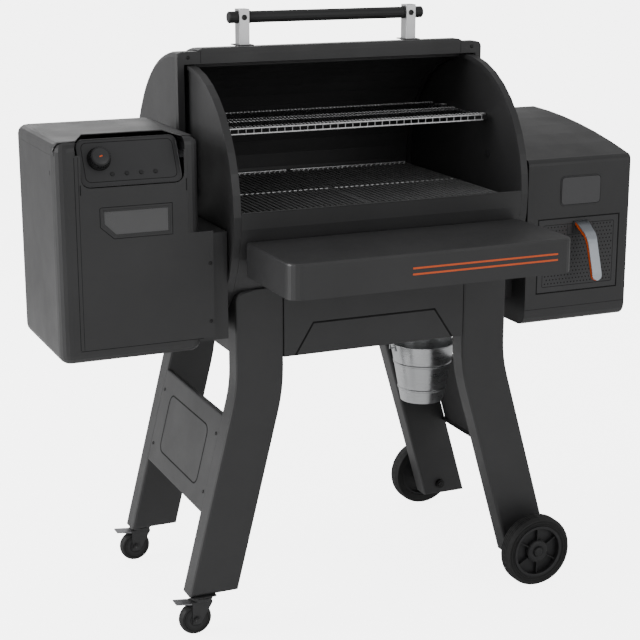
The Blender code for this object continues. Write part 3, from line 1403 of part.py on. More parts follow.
def build():
    barrel_shell()
    end_plates()
    cooking_surfaces()
    fire_parts()
    drain_spout()
    lid(pivot("lid_hinge", 0.0, 0.0, BARREL_Z))
    saddle = under_barrel_cutter()
    legs(saddle)
    aprons_and_rails(saddle)
    side_panels()
    for name, end in (("front_caster", -1), ("rear_caster", 1)):
        caster(name, end)
    for name, end in (("front_wheel", -1), ("rear_wheel", 1)):
        large_wheel(name, end)
    front_shelf()
    hopper_casing()
    hopper_front()
    hopper_lid()
    controls()
    hopper_bin()
    drive_parts()
    side_box()
    bucket()


build()
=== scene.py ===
"""Pellet smoker grill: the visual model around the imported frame, in metres, +Z up, -Y the front."""

import json
import math

import bmesh
import bpy
from mathutils import Matrix, Vector


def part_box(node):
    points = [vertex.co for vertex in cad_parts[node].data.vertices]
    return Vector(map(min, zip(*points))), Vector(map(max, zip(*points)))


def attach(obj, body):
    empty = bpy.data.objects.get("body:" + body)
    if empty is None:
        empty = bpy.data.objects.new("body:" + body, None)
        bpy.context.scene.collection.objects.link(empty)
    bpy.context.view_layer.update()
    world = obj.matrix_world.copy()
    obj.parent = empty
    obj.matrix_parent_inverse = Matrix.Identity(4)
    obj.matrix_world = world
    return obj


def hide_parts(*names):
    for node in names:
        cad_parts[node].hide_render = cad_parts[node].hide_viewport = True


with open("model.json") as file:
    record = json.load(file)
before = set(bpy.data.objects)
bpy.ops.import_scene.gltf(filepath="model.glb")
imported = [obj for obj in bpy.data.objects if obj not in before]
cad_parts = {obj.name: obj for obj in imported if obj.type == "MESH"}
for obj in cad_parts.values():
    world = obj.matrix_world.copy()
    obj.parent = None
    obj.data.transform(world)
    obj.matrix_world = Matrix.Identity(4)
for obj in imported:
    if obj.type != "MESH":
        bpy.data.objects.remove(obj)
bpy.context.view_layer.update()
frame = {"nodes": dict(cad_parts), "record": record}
NODES = frame["nodes"]

# ---- Places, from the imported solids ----
PLATE_LOW, PLATE_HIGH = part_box("left_end_plate")
FAR_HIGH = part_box("right_end_plate")[1]
AXIS = Vector((
    (PLATE_LOW.x + FAR_HIGH.x) / 2,
    (PLATE_LOW.y + PLATE_HIGH.y) / 2,
    (PLATE_LOW.z + PLATE_HIGH.z) / 2,
))
CX, CY, BARREL_Z = AXIS
BARREL_R = (PLATE_HIGH.z - PLATE_LOW.z) / 2
LEFT_END_LOW, LEFT_END_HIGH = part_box("left_lid_end")
LID_HALF = CX - LEFT_END_LOW.x
LID_SIDE_R = LEFT_END_HIGH.z - BARREL_Z
SKIN_HALF = 0.332
LEG_FACE_Y = -0.2474
SIDE_PANEL_LEANS = (("left", -1, 14.0), ("right", 1, 16.0))
GRATE_RODS = 24
RACK_WIRES = 70
HOPPER_FACE_Y = -0.272
HOPPER_SIDE_X = -0.742
CONTROL_X, CONTROL_FOOT_Y, CONTROL_FOOT_Z = -0.575, -0.271, 1.060
CONTROL_LEAN = 27.0
KNOB_X, KNOB_UP, KNOB_GRIPS = -0.640, 0.060, 28
BUTTON_FIRST_X, BUTTON_PITCH, BUTTON_UP = -0.616, 0.0312, 0.026
CUPBOARD_FACE_Y = -0.232
DOT_PITCH = 0.0092
HANDLE_FACE_Y = -0.2323


def at(x, y, z):
    """A point given from the barrel's middle plane, the cart's middle plane and the floor."""
    return Vector((CX + x, CY + y, z))


# ---- Materials ----
def start_material(name, colour, roughness, metallic=0.0, specular=0.5):
    made = bpy.data.materials.new(name)
    made.use_nodes = True
    tree = made.node_tree
    shader = tree.nodes["Principled BSDF"]
    shader.inputs["Metallic"].default_value = metallic
    shader.inputs["Specular IOR Level"].default_value = specular
    shader.inputs["Base Color"].default_value = (*colour, 1.0)
    shader.inputs["Roughness"].default_value = roughness
    made.diffuse_color = (*colour, 1.0)
    return made, tree, shader


def add(tree, kind, **values):
    node = tree.nodes.new(kind)
    for key, value in values.items():
        setattr(node, key, value)
    return node


def noise(tree, scale, detail=4.0, stretch=(1.0, 1.0, 1.0), rough=0.55):
    place = add(tree, "ShaderNodeTexCoord")
    mapping = add(tree, "ShaderNodeMapping")
    mapping.inputs["Scale"].default_value = stretch
    texture = add(tree, "ShaderNodeTexNoise")
    texture.inputs["Scale"].default_value = scale
    texture.inputs["Detail"].default_value = detail
    texture.inputs["Roughness"].default_value = rough
    tree.links.new(place.outputs["Object"], mapping.inputs["Vector"])
    tree.links.new(mapping.outputs["Vector"], texture.inputs["Vector"])
    return texture.outputs["Fac"]


def spread(tree, source, low, high, start=0.35, stop=0.65):
    """Maps a noise to a range of numbers."""
    node = add(tree, "ShaderNodeMapRange")
    node.inputs["From Min"].default_value = start
    node.inputs["From Max"].default_value = stop
    node.inputs["To Min"].default_value = low
    node.inputs["To Max"].default_value = high
    tree.links.new(source, node.inputs["Value"])
    return node.outputs["Result"]


def shades(tree, source, dark, light, start=0.35, stop=0.65):
    """Maps a noise to a range of colours."""
    node = add(tree, "ShaderNodeValToRGB")
    node.color_ramp.elements[0].position = start
    node.color_ramp.elements[1].position = stop
    node.color_ramp.elements[0].color = (*dark, 1.0)
    node.color_ramp.elements[1].color = (*light, 1.0)
    tree.links.new(source, node.inputs["Fac"])
    return node.outputs["Color"]


def bump(tree, shader, source, strength, distance):
    node = add(tree, "ShaderNodeBump")
    node.inputs["Strength"].default_value = strength
    node.inputs["Distance"].default_value = distance
    tree.links.new(source, node.inputs["Height"])
    tree.links.new(node.outputs["Normal"], shader.inputs["Normal"])
    return node


def scaled(colour, share):
    return tuple(channel * share for channel in colour)


def painted(name, colour, roughness, grain=1400.0, relief=0.12, variation=0.1, specular=0.5):
    """Powder coat: a fine orange-peel grain, and broad changes of shade and gloss from handling."""
    made, tree, shader = start_material(name, colour, roughness, specular=specular)
    broad = noise(tree, 5.0, 5.0)
    tint = shades(tree, broad, scaled(colour, 1 - variation), scaled(colour, 1 + variation), 0.3, 0.7)
    tree.links.new(tint, shader.inputs["Base Color"])
    fine = noise(tree, grain, 2.0)
    mixed = add(tree, "ShaderNodeMath", operation="MULTIPLY_ADD")
    tree.links.new(spread(tree, fine, -0.04, 0.04), mixed.inputs[0])
    mixed.inputs[1].default_value = 1.0
    tree.links.new(spread(tree, noise(tree, 9.0, 6.0), roughness - 0.05, roughness + 0.05), mixed.inputs[2])
    tree.links.new(mixed.outputs["Value"], shader.inputs["Roughness"])
    bump(tree, shader, fine, relief, 0.0003)
    return made


def metal(
    name, colour, roughness, stretch=(1.0, 1.0, 1.0), scale=60.0, relief=0.05, variation=0.08, metallic=1.0
):
    """Bare metal, brushed along the axis that the stretch leaves short, with dull patches."""
    made, tree, shader = start_material(name, colour, roughness, metallic=metallic)
    lines = noise(tree, scale, 3.0, stretch)
    patches = noise(tree, 14.0, 5.0)
    tint = shades(tree, lines, scaled(colour, 1 - variation), scaled(colour, 1 + variation / 2))
    tree.links.new(tint, shader.inputs["Base Color"])
    mixed = add(tree, "ShaderNodeMath", operation="ADD")
    tree.links.new(spread(tree, lines, -0.05, 0.05), mixed.inputs[0])
    tree.links.new(spread(tree, patches, roughness - 0.04, roughness + 0.07), mixed.inputs[1])
    tree.links.new(mixed.outputs["Value"], shader.inputs["Roughness"])
    bump(tree, shader, lines, relief, 0.0002)
    return made


def moulded(name, colour, roughness, grain=900.0, relief=0.2, specular=0.4):
    """Plastic or rubber with a fine moulded grain and a little dust in it."""
    made, tree, shader = start_material(name, colour, roughness, specular=specular)
    fine = noise(tree, grain, 3.0)
    dust = noise(tree, 30.0, 6.0)
    tint = shades(tree, dust, colour, scaled(colour, 1.5), 0.45, 0.8)
    tree.links.new(tint, shader.inputs["Base Color"])
    tree.links.new(spread(tree, dust, roughness - 0.05, roughness + 0.08), shader.inputs["Roughness"])
    bump(tree, shader, fine, relief, 0.0002)
    return made


COAT = painted("powder_coat_black", (0.036, 0.036, 0.037), 0.46)
PANEL = painted("satin_panel_paint", (0.042, 0.042, 0.044), 0.4, grain=2200.0, relief=0.05)
BADGE = painted("badge_paint", (0.075, 0.075, 0.078), 0.42, grain=2200.0, relief=0.05)
WINDOW = painted("smoked_window_sheet", (0.115, 0.115, 0.117), 0.22, relief=0.02, variation=0.05)
ORANGE = painted("orange_accent", (0.85, 0.115, 0.012), 0.42, grain=1800.0, relief=0.05, variation=0.06)
# The grates are black enamel. Their base colour is lifted to mid grey, a painted highlight that stands for the
# glints along the rods.
ENAMEL = painted("grate_enamel_black", (0.2, 0.2, 0.203), 0.36, grain=500.0, relief=0.2)
PLASTIC = moulded("plastic_black", (0.022, 0.022, 0.023), 0.45)
RUBBER = moulded("tyre_rubber", (0.019, 0.019, 0.019), 0.62, grain=600.0, relief=0.3)
SHADOW = moulded("seam_shadow", (0.004, 0.004, 0.004), 0.85)
BRUSHED = metal("brushed_steel_upright", (0.74, 0.74, 0.75), 0.3, (40.0, 40.0, 1.0))
STRAP = metal("brushed_steel_strap", (0.45, 0.48, 0.52), 0.34, (40.0, 1.0, 1.0))
PEDAL = metal("dull_pedal_steel", (0.26, 0.26, 0.27), 0.42, scale=70.0)
# The next two materials are lit and shaded copies of one chrome wire. The first is bright grey and only partly
# metallic, so it reads lit under any lamp: painted highlight. The second is darkened: painted shade.
CHROME = metal("chrome_wire_lit", (0.9, 0.9, 0.91), 0.24, scale=120.0, metallic=0.4)
SHADED_WIRE = metal("chrome_wire_shaded", (0.5, 0.5, 0.51), 0.2, scale=120.0)
FORK = painted("castor_paint", (0.03, 0.03, 0.031), 0.38, grain=1800.0, relief=0.08)
ZINC = metal("zinc_plate", (0.6, 0.61, 0.62), 0.36, scale=90.0)
PAIL = metal("pail_steel", (0.62, 0.63, 0.64), 0.3, (1.0, 1.0, 60.0), scale=22.0)
SCREW = metal("black_screw", (0.05, 0.05, 0.05), 0.45, scale=90.0)

BY_SLOT = {
    "powder_coat": COAT,
    "satin_panel": PANEL,
    "dark_plastic": PLASTIC,
    "black_rubber": RUBBER,
    "brushed_steel": BRUSHED,
    "chrome_wire": CHROME,
    "grate_enamel": ENAMEL,
    "galvanised_steel": ZINC,
    "smoked_window": WINDOW,
    "badge_plate": BADGE,
}
SLOT_OF = {material.name: slot for slot, material in BY_SLOT.items()}
SLOT_OF.update({
    "orange_accent": "satin_panel",
    "seam_shadow": "dark_plastic",
    "brushed_steel_strap": "brushed_steel",
    "dull_pedal_steel": "brushed_steel",
    "chrome_wire_shaded": "chrome_wire",
    "castor_paint": "powder_coat",
    "pail_steel": "galvanised_steel",
    "black_screw": "galvanised_steel",
})


def paint_nodes():
    slots = {row["node"]: row["material_slot"] for row in frame["record"]["subparts"]}
    for name, obj in NODES.items():
        obj.data.materials.clear()
        obj.data.materials.append(BY_SLOT[slots[name]])
    looks = [("grease_bucket", PAIL), ("front_wheel_axle", SCREW), ("rear_wheel_axle", SCREW)]
    looks += [("front_caster_fork", FORK), ("rear_caster_fork", FORK)]
    looks += [("front_caster_brake", PEDAL), ("rear_caster_brake", PEDAL)]
    for name, look in looks:
        NODES[name].data.materials[0] = look


def soften(name, width, segments=2, angle=30.0):
    """Rounds a node's sharp edges a little, as bent sheet and plating do."""
    obj = NODES[name]
    bevel = obj.modifiers.new("soften", "BEVEL")
    bevel.width = width
    bevel.segments = segments
    bevel.limit_method = "ANGLE"
    bevel.angle_limit = math.radians(angle)
    bevel.use_clamp_overlap = True
    bevel.harden_normals = False


def smooth_by_angle(mesh, degrees):
    mesh.shade_smooth()
    mesh.set_sharp_from_angle(angle=math.radians(degrees))


# ---- Piece builders ----
def piece(name, bm, look, body, smooth=40.0):
    mesh = bpy.data.meshes.new(name)
    bmesh.ops.recalc_face_normals(bm, faces=bm.faces)
    bm.to_mesh(mesh)
    bm.free()
    mesh.materials.append(look)
    smooth_by_angle(mesh, smooth)
    obj = bpy.data.objects.new(name, mesh)
    bpy.context.scene.collection.objects.link(obj)
    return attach(obj, body)


def wires(name, paths, radius, look, body, sides=3, closed=False):
    """Round wires, one along each list of points."""
    curve = bpy.data.curves.new(name, "CURVE")
    curve.dimensions = "3D"
    curve.bevel_depth = radius
    curve.bevel_resolution = sides
    curve.use_fill_caps = True
    for path in paths:
        spline = curve.splines.new("POLY")
        spline.points.add(len(path) - 1)
        for point, where in zip(spline.points, path):
            point.co = (*where, 1.0)
        spline.use_cyclic_u = closed
        spline.use_smooth = True
    curve.materials.append(look)
    obj = bpy.data.objects.new(name, curve)
    bpy.context.scene.collection.objects.link(obj)
    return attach(obj, body)


def add_prism(bm, outline, pose, depth, bevel=0.0, segments=2):
    """Adds an outline extruded along the pose's +Z, with its far edge rounded."""
    base = [bm.verts.new(pose @ Vector((u, v, 0.0))) for u, v in outline]
    top = [bm.verts.new(pose @ Vector((u, v, depth))) for u, v in outline]
    count = len(outline)
    bm.faces.new(base[::-1])
    bm.faces.new(top)
    for i in range(count):
        bm.faces.new((base[i], base[(i + 1) % count], top[(i + 1) % count], top[i]))
    if bevel:
        edges = [bm.edges.get((top[i], top[(i + 1) % count])) for i in range(count)]
        bmesh.ops.bevel(bm, geom=edges, offset=bevel, segments=segments, profile=0.5, affect="EDGES")


def add_lathe(bm, profile, pose, steps=24):
    """Adds a (radius, height) profile turned about the pose's Z axis: it ends on the axis or is a loop."""
    rings = []
    for radius, height in profile:
        if radius < 1e-6:
            rings.append([bm.verts.new(pose @ Vector((0.0, 0.0, height)))])
            continue
        ring = []
        for step in range(steps):
            angle = 2 * math.pi * step / steps
            spot = Vector((radius * math.cos(angle), radius * math.sin(angle), height))
            ring.append(bm.verts.new(pose @ spot))
        rings.append(ring)
    pairs = list(zip(rings, rings[1:]))
    if profile[0][0] > 1e-6 and profile[-1][0] > 1e-6:
        pairs.append((rings[-1], rings[0]))
    for first, second in pairs:
        for step in range(steps):
            following = (step + 1) % steps
            if len(first) == 1:
                bm.faces.new((first[0], second[step], second[following]))
            elif len(second) == 1:
                bm.faces.new((first[step], second[0], first[following]))
            else:
                bm.faces.new((first[step], second[step], second[following], first[following]))


def arc(u, v, radius, first, last, steps):
    points = []
    for step in range(steps + 1):
        angle = math.radians(first + (last - first) * step / steps)
        points.append((u + radius * math.cos(angle), v + radius * math.sin(angle)))
    return points


def rounded(left, right, low, top, radius, steps=5):
    points = arc(right - radius, low + radius, radius, -90, 0, steps)
    points += arc(right - radius, top - radius, radius, 0, 90, steps)
    points += arc(left + radius, top - radius, radius, 90, 180, steps)
    points += arc(left + radius, low + radius, radius, 180, 270, steps)
    return points


def circle(centre, reach, y, steps):
    """Points of a circle about a wheel's axle, in the plane at y."""
    points = []
    for step in range(steps):
        angle = 2 * math.pi * step / steps
        points.append((centre.x + reach * math.cos(angle), y, centre.z + reach * math.sin(angle)))
    return points


def facing(direction, point):
    """A pose at a point whose Z axis looks along a direction, with X kept level."""
    turns = {
        "-Y": Matrix.Rotation(math.radians(90), 4, "X"),
        "+Y": Matrix.Rotation(math.radians(180), 4, "Z") @ Matrix.Rotation(math.radians(90), 4, "X"),
        "+X": Matrix.Rotation(math.radians(90), 4, "Z") @ Matrix.Rotation(math.radians(90), 4, "X"),
        "-X": Matrix.Rotation(math.radians(-90), 4, "Z") @ Matrix.Rotation(math.radians(90), 4, "X"),
        "+Z": Matrix.Identity(4),
        "-Z": Matrix.Rotation(math.radians(180), 4, "X"),
    }
    return Matrix.Translation(point) @ turns[direction]


def screws(name, poses, radius, look, body, height=None):
    """Pan-head screws with a cross recess, one at each pose."""
    bm = bmesh.new()
    rise = height or radius * 0.55
    profile = [(0.0, rise), (radius * 0.55, rise * 0.95), (radius * 0.88, rise * 0.6), (radius, rise * 0.2)]
    profile += [(radius, -0.0004), (0.0, -0.0004)]
    for pose in poses:
        add_lathe(bm, profile, pose, 16)
        for turn in (0.0, 90.0):
            turned = pose @ Matrix.Rotation(math.radians(turn + 20), 4, "Z")
            slot = turned @ Matrix.Translation((0, 0, rise * 0.9))
            half, thin = radius * 0.55, radius * 0.11
            add_prism(bm, [(-half, -thin), (half, -thin), (half, thin), (-half, thin)], slot, rise * 0.14)
    return piece(name, bm, look, body)


def nuts(name, poses, radius, height, look, body):
    """Hexagon nuts with a washer and the end of a bolt."""
    bm = bmesh.new()
    for pose in poses:
        washer = [(0, height * 0.2), (radius * 1.35, height * 0.2), (radius * 1.35, 0), (0, 0)]
        add_lathe(bm, washer, pose, 20)
        angles = [math.radians(60 * i) for i in range(6)]
        hexagon = [(radius * math.cos(angle), radius * math.sin(angle)) for angle in angles]
        lifted = pose @ Matrix.Translation((0, 0, height * 0.2))
        add_prism(bm, hexagon, lifted, height * 0.8, radius * 0.12)
        end = height * 1.2
        add_lathe(bm, [(0, end), (radius * 0.45, end), (radius * 0.5, height), (0, height)], pose, 14)
    return piece(name, bm, look, body)


def ribbon(name, points, pose, width, proud, look, body, closed=False):
    """A line of a given width drawn on a flat face: a pressed groove or bead seen from outside."""
    bm = bmesh.new()
    flat = [Vector(point) for point in points]
    count = len(flat)
    sides = []
    for i, point in enumerate(flat):
        before = flat[i - 1] if closed or i else None
        after = flat[(i + 1) % count] if closed or i < count - 1 else None
        along = [(point - before).normalized()] if before is not None else []
        along += [(after - point).normalized()] if after is not None else []
        across = sum((Vector((-d.y, d.x)) for d in along), Vector((0.0, 0.0))).normalized()
        share = max(across.dot(Vector((-along[0].y, along[0].x))), 0.35)
        sides.append((point + across * width / 2 / share, point - across * width / 2 / share))
    rows = []
    for left, right in sides:
        middle = (left + right) / 2
        corners = (
            (left, 0.0),
            (left.lerp(middle, 0.4), proud),
            (right.lerp(middle, 0.4), proud),
            (right, 0.0),
            (right, -0.0004),
            (left, -0.0004),
        )
        rows.append([bm.verts.new(pose @ Vector((spot.x, spot.y, height))) for spot, height in corners])
    spans = list(zip(rows, rows[1:]))
    if closed:
        spans.append((rows[-1], rows[0]))
    else:
        bm.faces.new(rows[0])
        bm.faces.new(rows[-1][::-1])
    for first, second in spans:
        for i in range(6):
            j = (i + 1) % 6
            bm.faces.new((first[i], first[j], second[j], second[i]))
    return piece(name, bm, look, body, 20.0)


# ---- Lid ----
def lid_front():
    """The lid's front frame: a band across the top and a narrow strip down each side."""
    outer, top, corner = LID_HALF - 0.0005, LID_SIDE_R - 0.0004, 0.012
    low, strip = 0.3004, 0.0145
    foot = -0.0225
    outline = arc(outer - corner, top - corner, corner, 0, 90, 5) + [(SKIN_HALF + 0.004, top)]
    raised = top + 0.0065
    outline += [(SKIN_HALF - 0.004, raised), (-SKIN_HALF + 0.004, raised), (-SKIN_HALF - 0.004, top)]
    outline += arc(-outer + corner, top - corner, corner, 90, 180, 5)
    outline += [(-outer, foot), (-outer + strip, foot), (-outer + strip, low)]
    outline += [(outer - strip, low), (outer - strip, foot), (outer, foot)]
    bm = bmesh.new()
    add_prism(bm, outline, facing("-Y", at(0, -0.0148, BARREL_Z)), 0.0016, 0.0005)
    piece("lid_front_frame", bm, COAT, "lid")
    seam_face = facing("-Y", at(0, -0.0164, BARREL_Z))
    for index, side in enumerate((-1, 1)):
        seam = [(side * SKIN_HALF, low + 0.001), (side * SKIN_HALF, top + 0.0015)]
        ribbon(f"lid_band_seam_{index + 1}", seam, seam_face, 0.0011, 0.0002, SHADOW, "lid")
    heads = [facing("-Y", at(side * 0.362, -0.0164, BARREL_Z + 0.3155)) for side in (-1, 1)]
    screws("lid_band_screws", heads, 0.0042, SCREW, "lid")
    hem = [at(x, -0.0125, BARREL_Z + 0.3035) for x in (-0.368, 0.368)]
    wires("lid_band_hem", [hem], 0.0022, COAT, "lid")


def handle_details():
    """Bolt heads, collars and feet of the lid's handle."""
    bar_z, post_y, post_x = 1.375, 0.031, 0.213
    front = post_y - 0.015
    bolts = [facing("-Y", at(side * post_x, front, bar_z)) for side in (-1, 1)]
    head = [(0, 0.0016), (0.003, 0.0016), (0.0036, 0.0032), (0.0052, 0.0032), (0.0064, 0.0014)]
    head += [(0.0064, -0.0005), (0, -0.0005)]
    bm = bmesh.new()
    for pose in bolts:
        add_lathe(bm, head, pose, 24)
    piece("handle_bolts", bm, SCREW, "lid")
    bm = bmesh.new()
    for side in (-1, 1):
        for x in (side * (post_x + 0.0135), side * (post_x - 0.0165)):
            pose = facing("+X", at(x, post_y, bar_z))
            add_lathe(bm, [(0.0068, 0), (0.0146, 0), (0.0146, 0.003), (0.0068, 0.003)], pose, 28)
    piece("handle_collars", bm, PLASTIC, "lid")
    bm = bmesh.new()
    for side in (-1, 1):
        x = side * post_x
        outline = rounded(x - 0.021, x + 0.021, post_y - 0.024, post_y + 0.024, 0.004, 3)
        pose = Matrix.Translation(at(0, 0, BARREL_Z + 0.3345))
        add_prism(bm, outline, pose, 0.0022, 0.0007)
    piece("handle_feet", bm, COAT, "lid")


# ---- Barrel ----
def barrel_details():
    """Rolled hems along the crown and the sill, and the grommet that a probe's lead passes through."""
    hem = []
    crown_z = BARREL_Z + BARREL_R - 0.0030
    for offset in (0.0, 0.0035):
        hem.append([at(x, 0.0130 + offset, crown_z - offset) for x in (-0.345, 0.345)])
    wires("barrel_crown_hem", hem, 0.0024, COAT, "cart")
    sill = [[at(x, -BARREL_R + 0.0017, BARREL_Z + 0.0072) for x in (-0.345, 0.345)]]
    wires("barrel_sill_hem", sill, 0.0021, COAT, "cart")
    grommet = [(0, 0.002), (0.006, 0.002), (0.010, 0.001), (0.010, -0.0005), (0, -0.0005)]
    bm = bmesh.new()
    add_lathe(bm, grommet, facing("-X", at(0.3568, -0.115, 1.045)), 20)
    piece("probe_grommet", bm, PLASTIC, "cart")


# ---- Grates and rack ----
def cooking_wires():
    """Round rods, a rim, a crossbar and a raised back rail in place of each flat grate."""
    for name, body in (("left_grate", "left_cooking_grate"), ("right_grate", "right_cooking_grate")):
        low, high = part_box(name)
        z = (low.z + high.z) / 2
        left, right, back = low.x + 0.004, high.x - 0.004, high.y - 0.004
        rods = []
        for index in range(GRATE_RODS + 1):
            x = left + (high.x - low.x - 0.008) * index / GRATE_RODS
            rods.append([(x, low.y + 0.003, z + 0.0008), (x, high.y - 0.003, z + 0.0008)])
        made = wires(f"{name}_rods", rods, 0.0028, ENAMEL, body, 2)
        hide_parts(name)
        rim_r = 0.0022
        rim = [
            (low.x + rim_r, low.y + rim_r, z - 0.0008),
            (high.x - rim_r, low.y + rim_r, z - 0.0008),
            (high.x - rim_r, high.y - rim_r, z - 0.0008),
            (low.x + rim_r, high.y - rim_r, z - 0.0008),
        ]
        wires(f"{name}_rim", [rim], rim_r, ENAMEL, body, 3, True)
        middle = low.y + (high.y - low.y) * 0.51
        cross = [[(left, middle, z + 0.0014), (right, middle, z + 0.0014)]]
        wires(f"{name}_crossbars", cross, 0.0015, CHROME, body, 2)
        rail = [[(left, back, z + rise), (right, back, z + rise)] for rise in (-0.0006, 0.0052)]
        for index in range(GRATE_RODS):
            x = low.x + 0.010 + (high.x - low.x - 0.02) * index / (GRATE_RODS - 1)
            rail.append([(x, back, z - 0.001), (x + 0.006, back, z + 0.0052)])
        wires(f"{name}_back_rail", rail, 0.0014, CHROME, body, 2)


def warming_rack():
    """Rails, cross wires, a two-bar front rail and hooks in place of the flat rack."""
    low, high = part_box("warming_rack")
    left, right = low.x + 0.029, high.x - 0.029
    front, back, z = low.y, high.y, (low.z + high.z) / 2
    r = 0.0017
    rails = [
        [(left, front + r, z + 0.003), (right, front + r, z + 0.003)],
        [(left - 0.004, front + r, z - 0.009), (right + 0.004, front + r, z - 0.009)],
        [(left, back - r, z + 0.003), (right, back - r, z + 0.003)],
        [(left, (front + back) / 2, z), (right, (front + back) / 2, z)],
    ]
    for x in (left, right):
        rails.append([(x, front + r, z + 0.001), (x, back - r, z + 0.001)])
    made = wires("warming_rack_rails", rails, r, CHROME, "upper_rack", 3)
    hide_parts("warming_rack")
    cross, posts = [], []
    for index in range(RACK_WIRES + 1):
        x = left + (right - left) * index / RACK_WIRES
        cross.append([(x, front + r, z + 0.004), (x, back - r, z + 0.004)])
        if index % 2 == 0:
            posts.append([(x, front + r, z + 0.003), (x, front + r, z - 0.009)])
    wires("warming_rack_crosswires", cross, 0.0010, SHADED_WIRE, "upper_rack", 2)
    # Short bright lengths laid over the shaded cross wires are painted highlights: they stand for the glints
    # along them.
    ends = []
    for first, last in cross:
        for share in (0.04, 0.50, 0.93):
            y = first[1] + (last[1] - first[1]) * share
            ends.append([(first[0], y, first[2] + 0.0004), (first[0], y + 0.014, first[2] + 0.0004)])
    wires("warming_rack_painted_glints", ends, 0.0014, CHROME, "upper_rack", 2)
    wires("warming_rack_rail_posts", posts, 0.0008, CHROME, "upper_rack", 2)
    tabs = []
    for y in (CY - 0.100, CY + 0.100):
        for x, end in ((left, low.x + 0.002), (right, high.x - 0.002)):
            tabs.append([(x, y - 0.006, z), (end, y - 0.006, z), (end, y + 0.006, z), (x, y + 0.006, z)])
    wires("warming_rack_hooks", tabs, r, CHROME, "upper_rack", 3)


# ---- Cart ----
def cart_details():
    """Pressed beads on the aprons and lower side panels, and the panels' screws."""
    face = facing("-Y", at(0, LEG_FACE_Y, 0))
    lines = [(-0.200, 0.6405), (-0.156, 0.712), (0.152, 0.712), (0.199, 0.6405)]
    ribbon("apron_bead", lines, face, 0.0045, 0.0006, SHADOW, "cart")
    back = facing("+Y", at(0, -LEG_FACE_Y, 0))
    ribbon("rear_apron_bead", lines, back, 0.0045, 0.0006, SHADOW, "cart")
    for name, side, lean in SIDE_PANEL_LEANS:
        low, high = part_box(f"{name}_side_panel")
        middle_z = (low.z + high.z) / 2
        x = (low.x + high.x) / 2
        tilt = Matrix.Rotation(math.radians(-side * lean), 4, "Y")
        turn = facing("-X" if side < 0 else "+X", Vector((0, 0, 0)))
        node = NODES[f"{name}_side_panel"]
        normal = tilt @ Vector((side, 0, 0))
        depth = max(normal.dot(vertex.co) for vertex in node.data.vertices)
        centre = Vector((x, CY, middle_z))
        centre += normal * (depth - normal.dot(centre))
        pose = Matrix.Translation(centre) @ tilt @ turn
        bead = rounded(-0.135, 0.135, -0.072, 0.072, 0.022)
        ribbon(f"{name}_panel_bead", bead, pose, 0.004, 0.0006, SHADOW, "cart", True)
        heads = [pose @ Matrix.Translation((u, v, 0)) for u in (-0.185, 0.185) for v in (-0.07, 0.07)]
        screws(f"{name}_panel_screws", heads, 0.0045, SCREW, "cart")


def caster_details():
    """Hub caps, rings, tread grooves, axle nuts, top plate and swivel race of each castor."""
    cap = [(0.0085, 0.0), (0.0085, 0.0008), (0.021, 0.0008), (0.024, 0.0), (0.024, -0.001), (0.0085, -0.001)]
    for name in ("front", "rear"):
        low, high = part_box(f"{name}_caster_wheel")
        centre = (low + high) / 2
        half = (high.y - low.y) / 2
        bm = bmesh.new()
        for way in ("-Y", "+Y"):
            shift = -half if way == "-Y" else half
            pose = facing(way, Vector((centre.x, centre.y + shift - math.copysign(0.0005, shift), centre.z)))
            add_lathe(bm, cap, pose, 32)
        piece(f"{name}_caster_caps", bm, PLASTIC, f"{name}_caster_roller")
        rings = []
        for way in (-1, 1):
            for reach in (0.0150, 0.0285):
                rings.append(circle(centre, reach, centre.y + way * half, 40))
        wires(f"{name}_caster_rings", rings, 0.0006, SHADOW, f"{name}_caster_roller", 2, True)
        grooves = [circle(centre, 0.0376, centre.y + offset, 48) for offset in (-0.0035, 0.0035)]
        wires(f"{name}_caster_tread", grooves, 0.0006, SHADOW, f"{name}_caster_roller", 2, True)
        fork_low, fork_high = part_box(f"{name}_caster_fork")
        ends = [
            facing("-Y", Vector((centre.x, fork_low.y + 0.0016, centre.z))),
            facing("+Y", Vector((centre.x, fork_high.y - 0.0016, centre.z))),
        ]
        nuts(f"{name}_caster_axle_nuts", ends, 0.0062, 0.0034, FORK, f"{name}_caster")
        bm = bmesh.new()
        plate = rounded(-0.030, 0.030, -0.021, 0.021, 0.005)
        swivel = Vector((CX - 0.430, centre.y, fork_high.z))
        add_prism(bm, plate, Matrix.Translation(swivel - Vector((0, 0, 0.0022))), 0.0020, 0.0005)
        piece(f"{name}_caster_plate", bm, FORK, f"{name}_caster")
        bm = bmesh.new()
        pose = Matrix.Translation(swivel - Vector((0, 0, 0.0105)))
        add_lathe(bm, [(0.0225, 0.0), (0.0245, 0.0015), (0.0245, 0.0065), (0.0225, 0.008)], pose, 32)
        piece(f"{name}_caster_race", bm, FORK, f"{name}_caster")


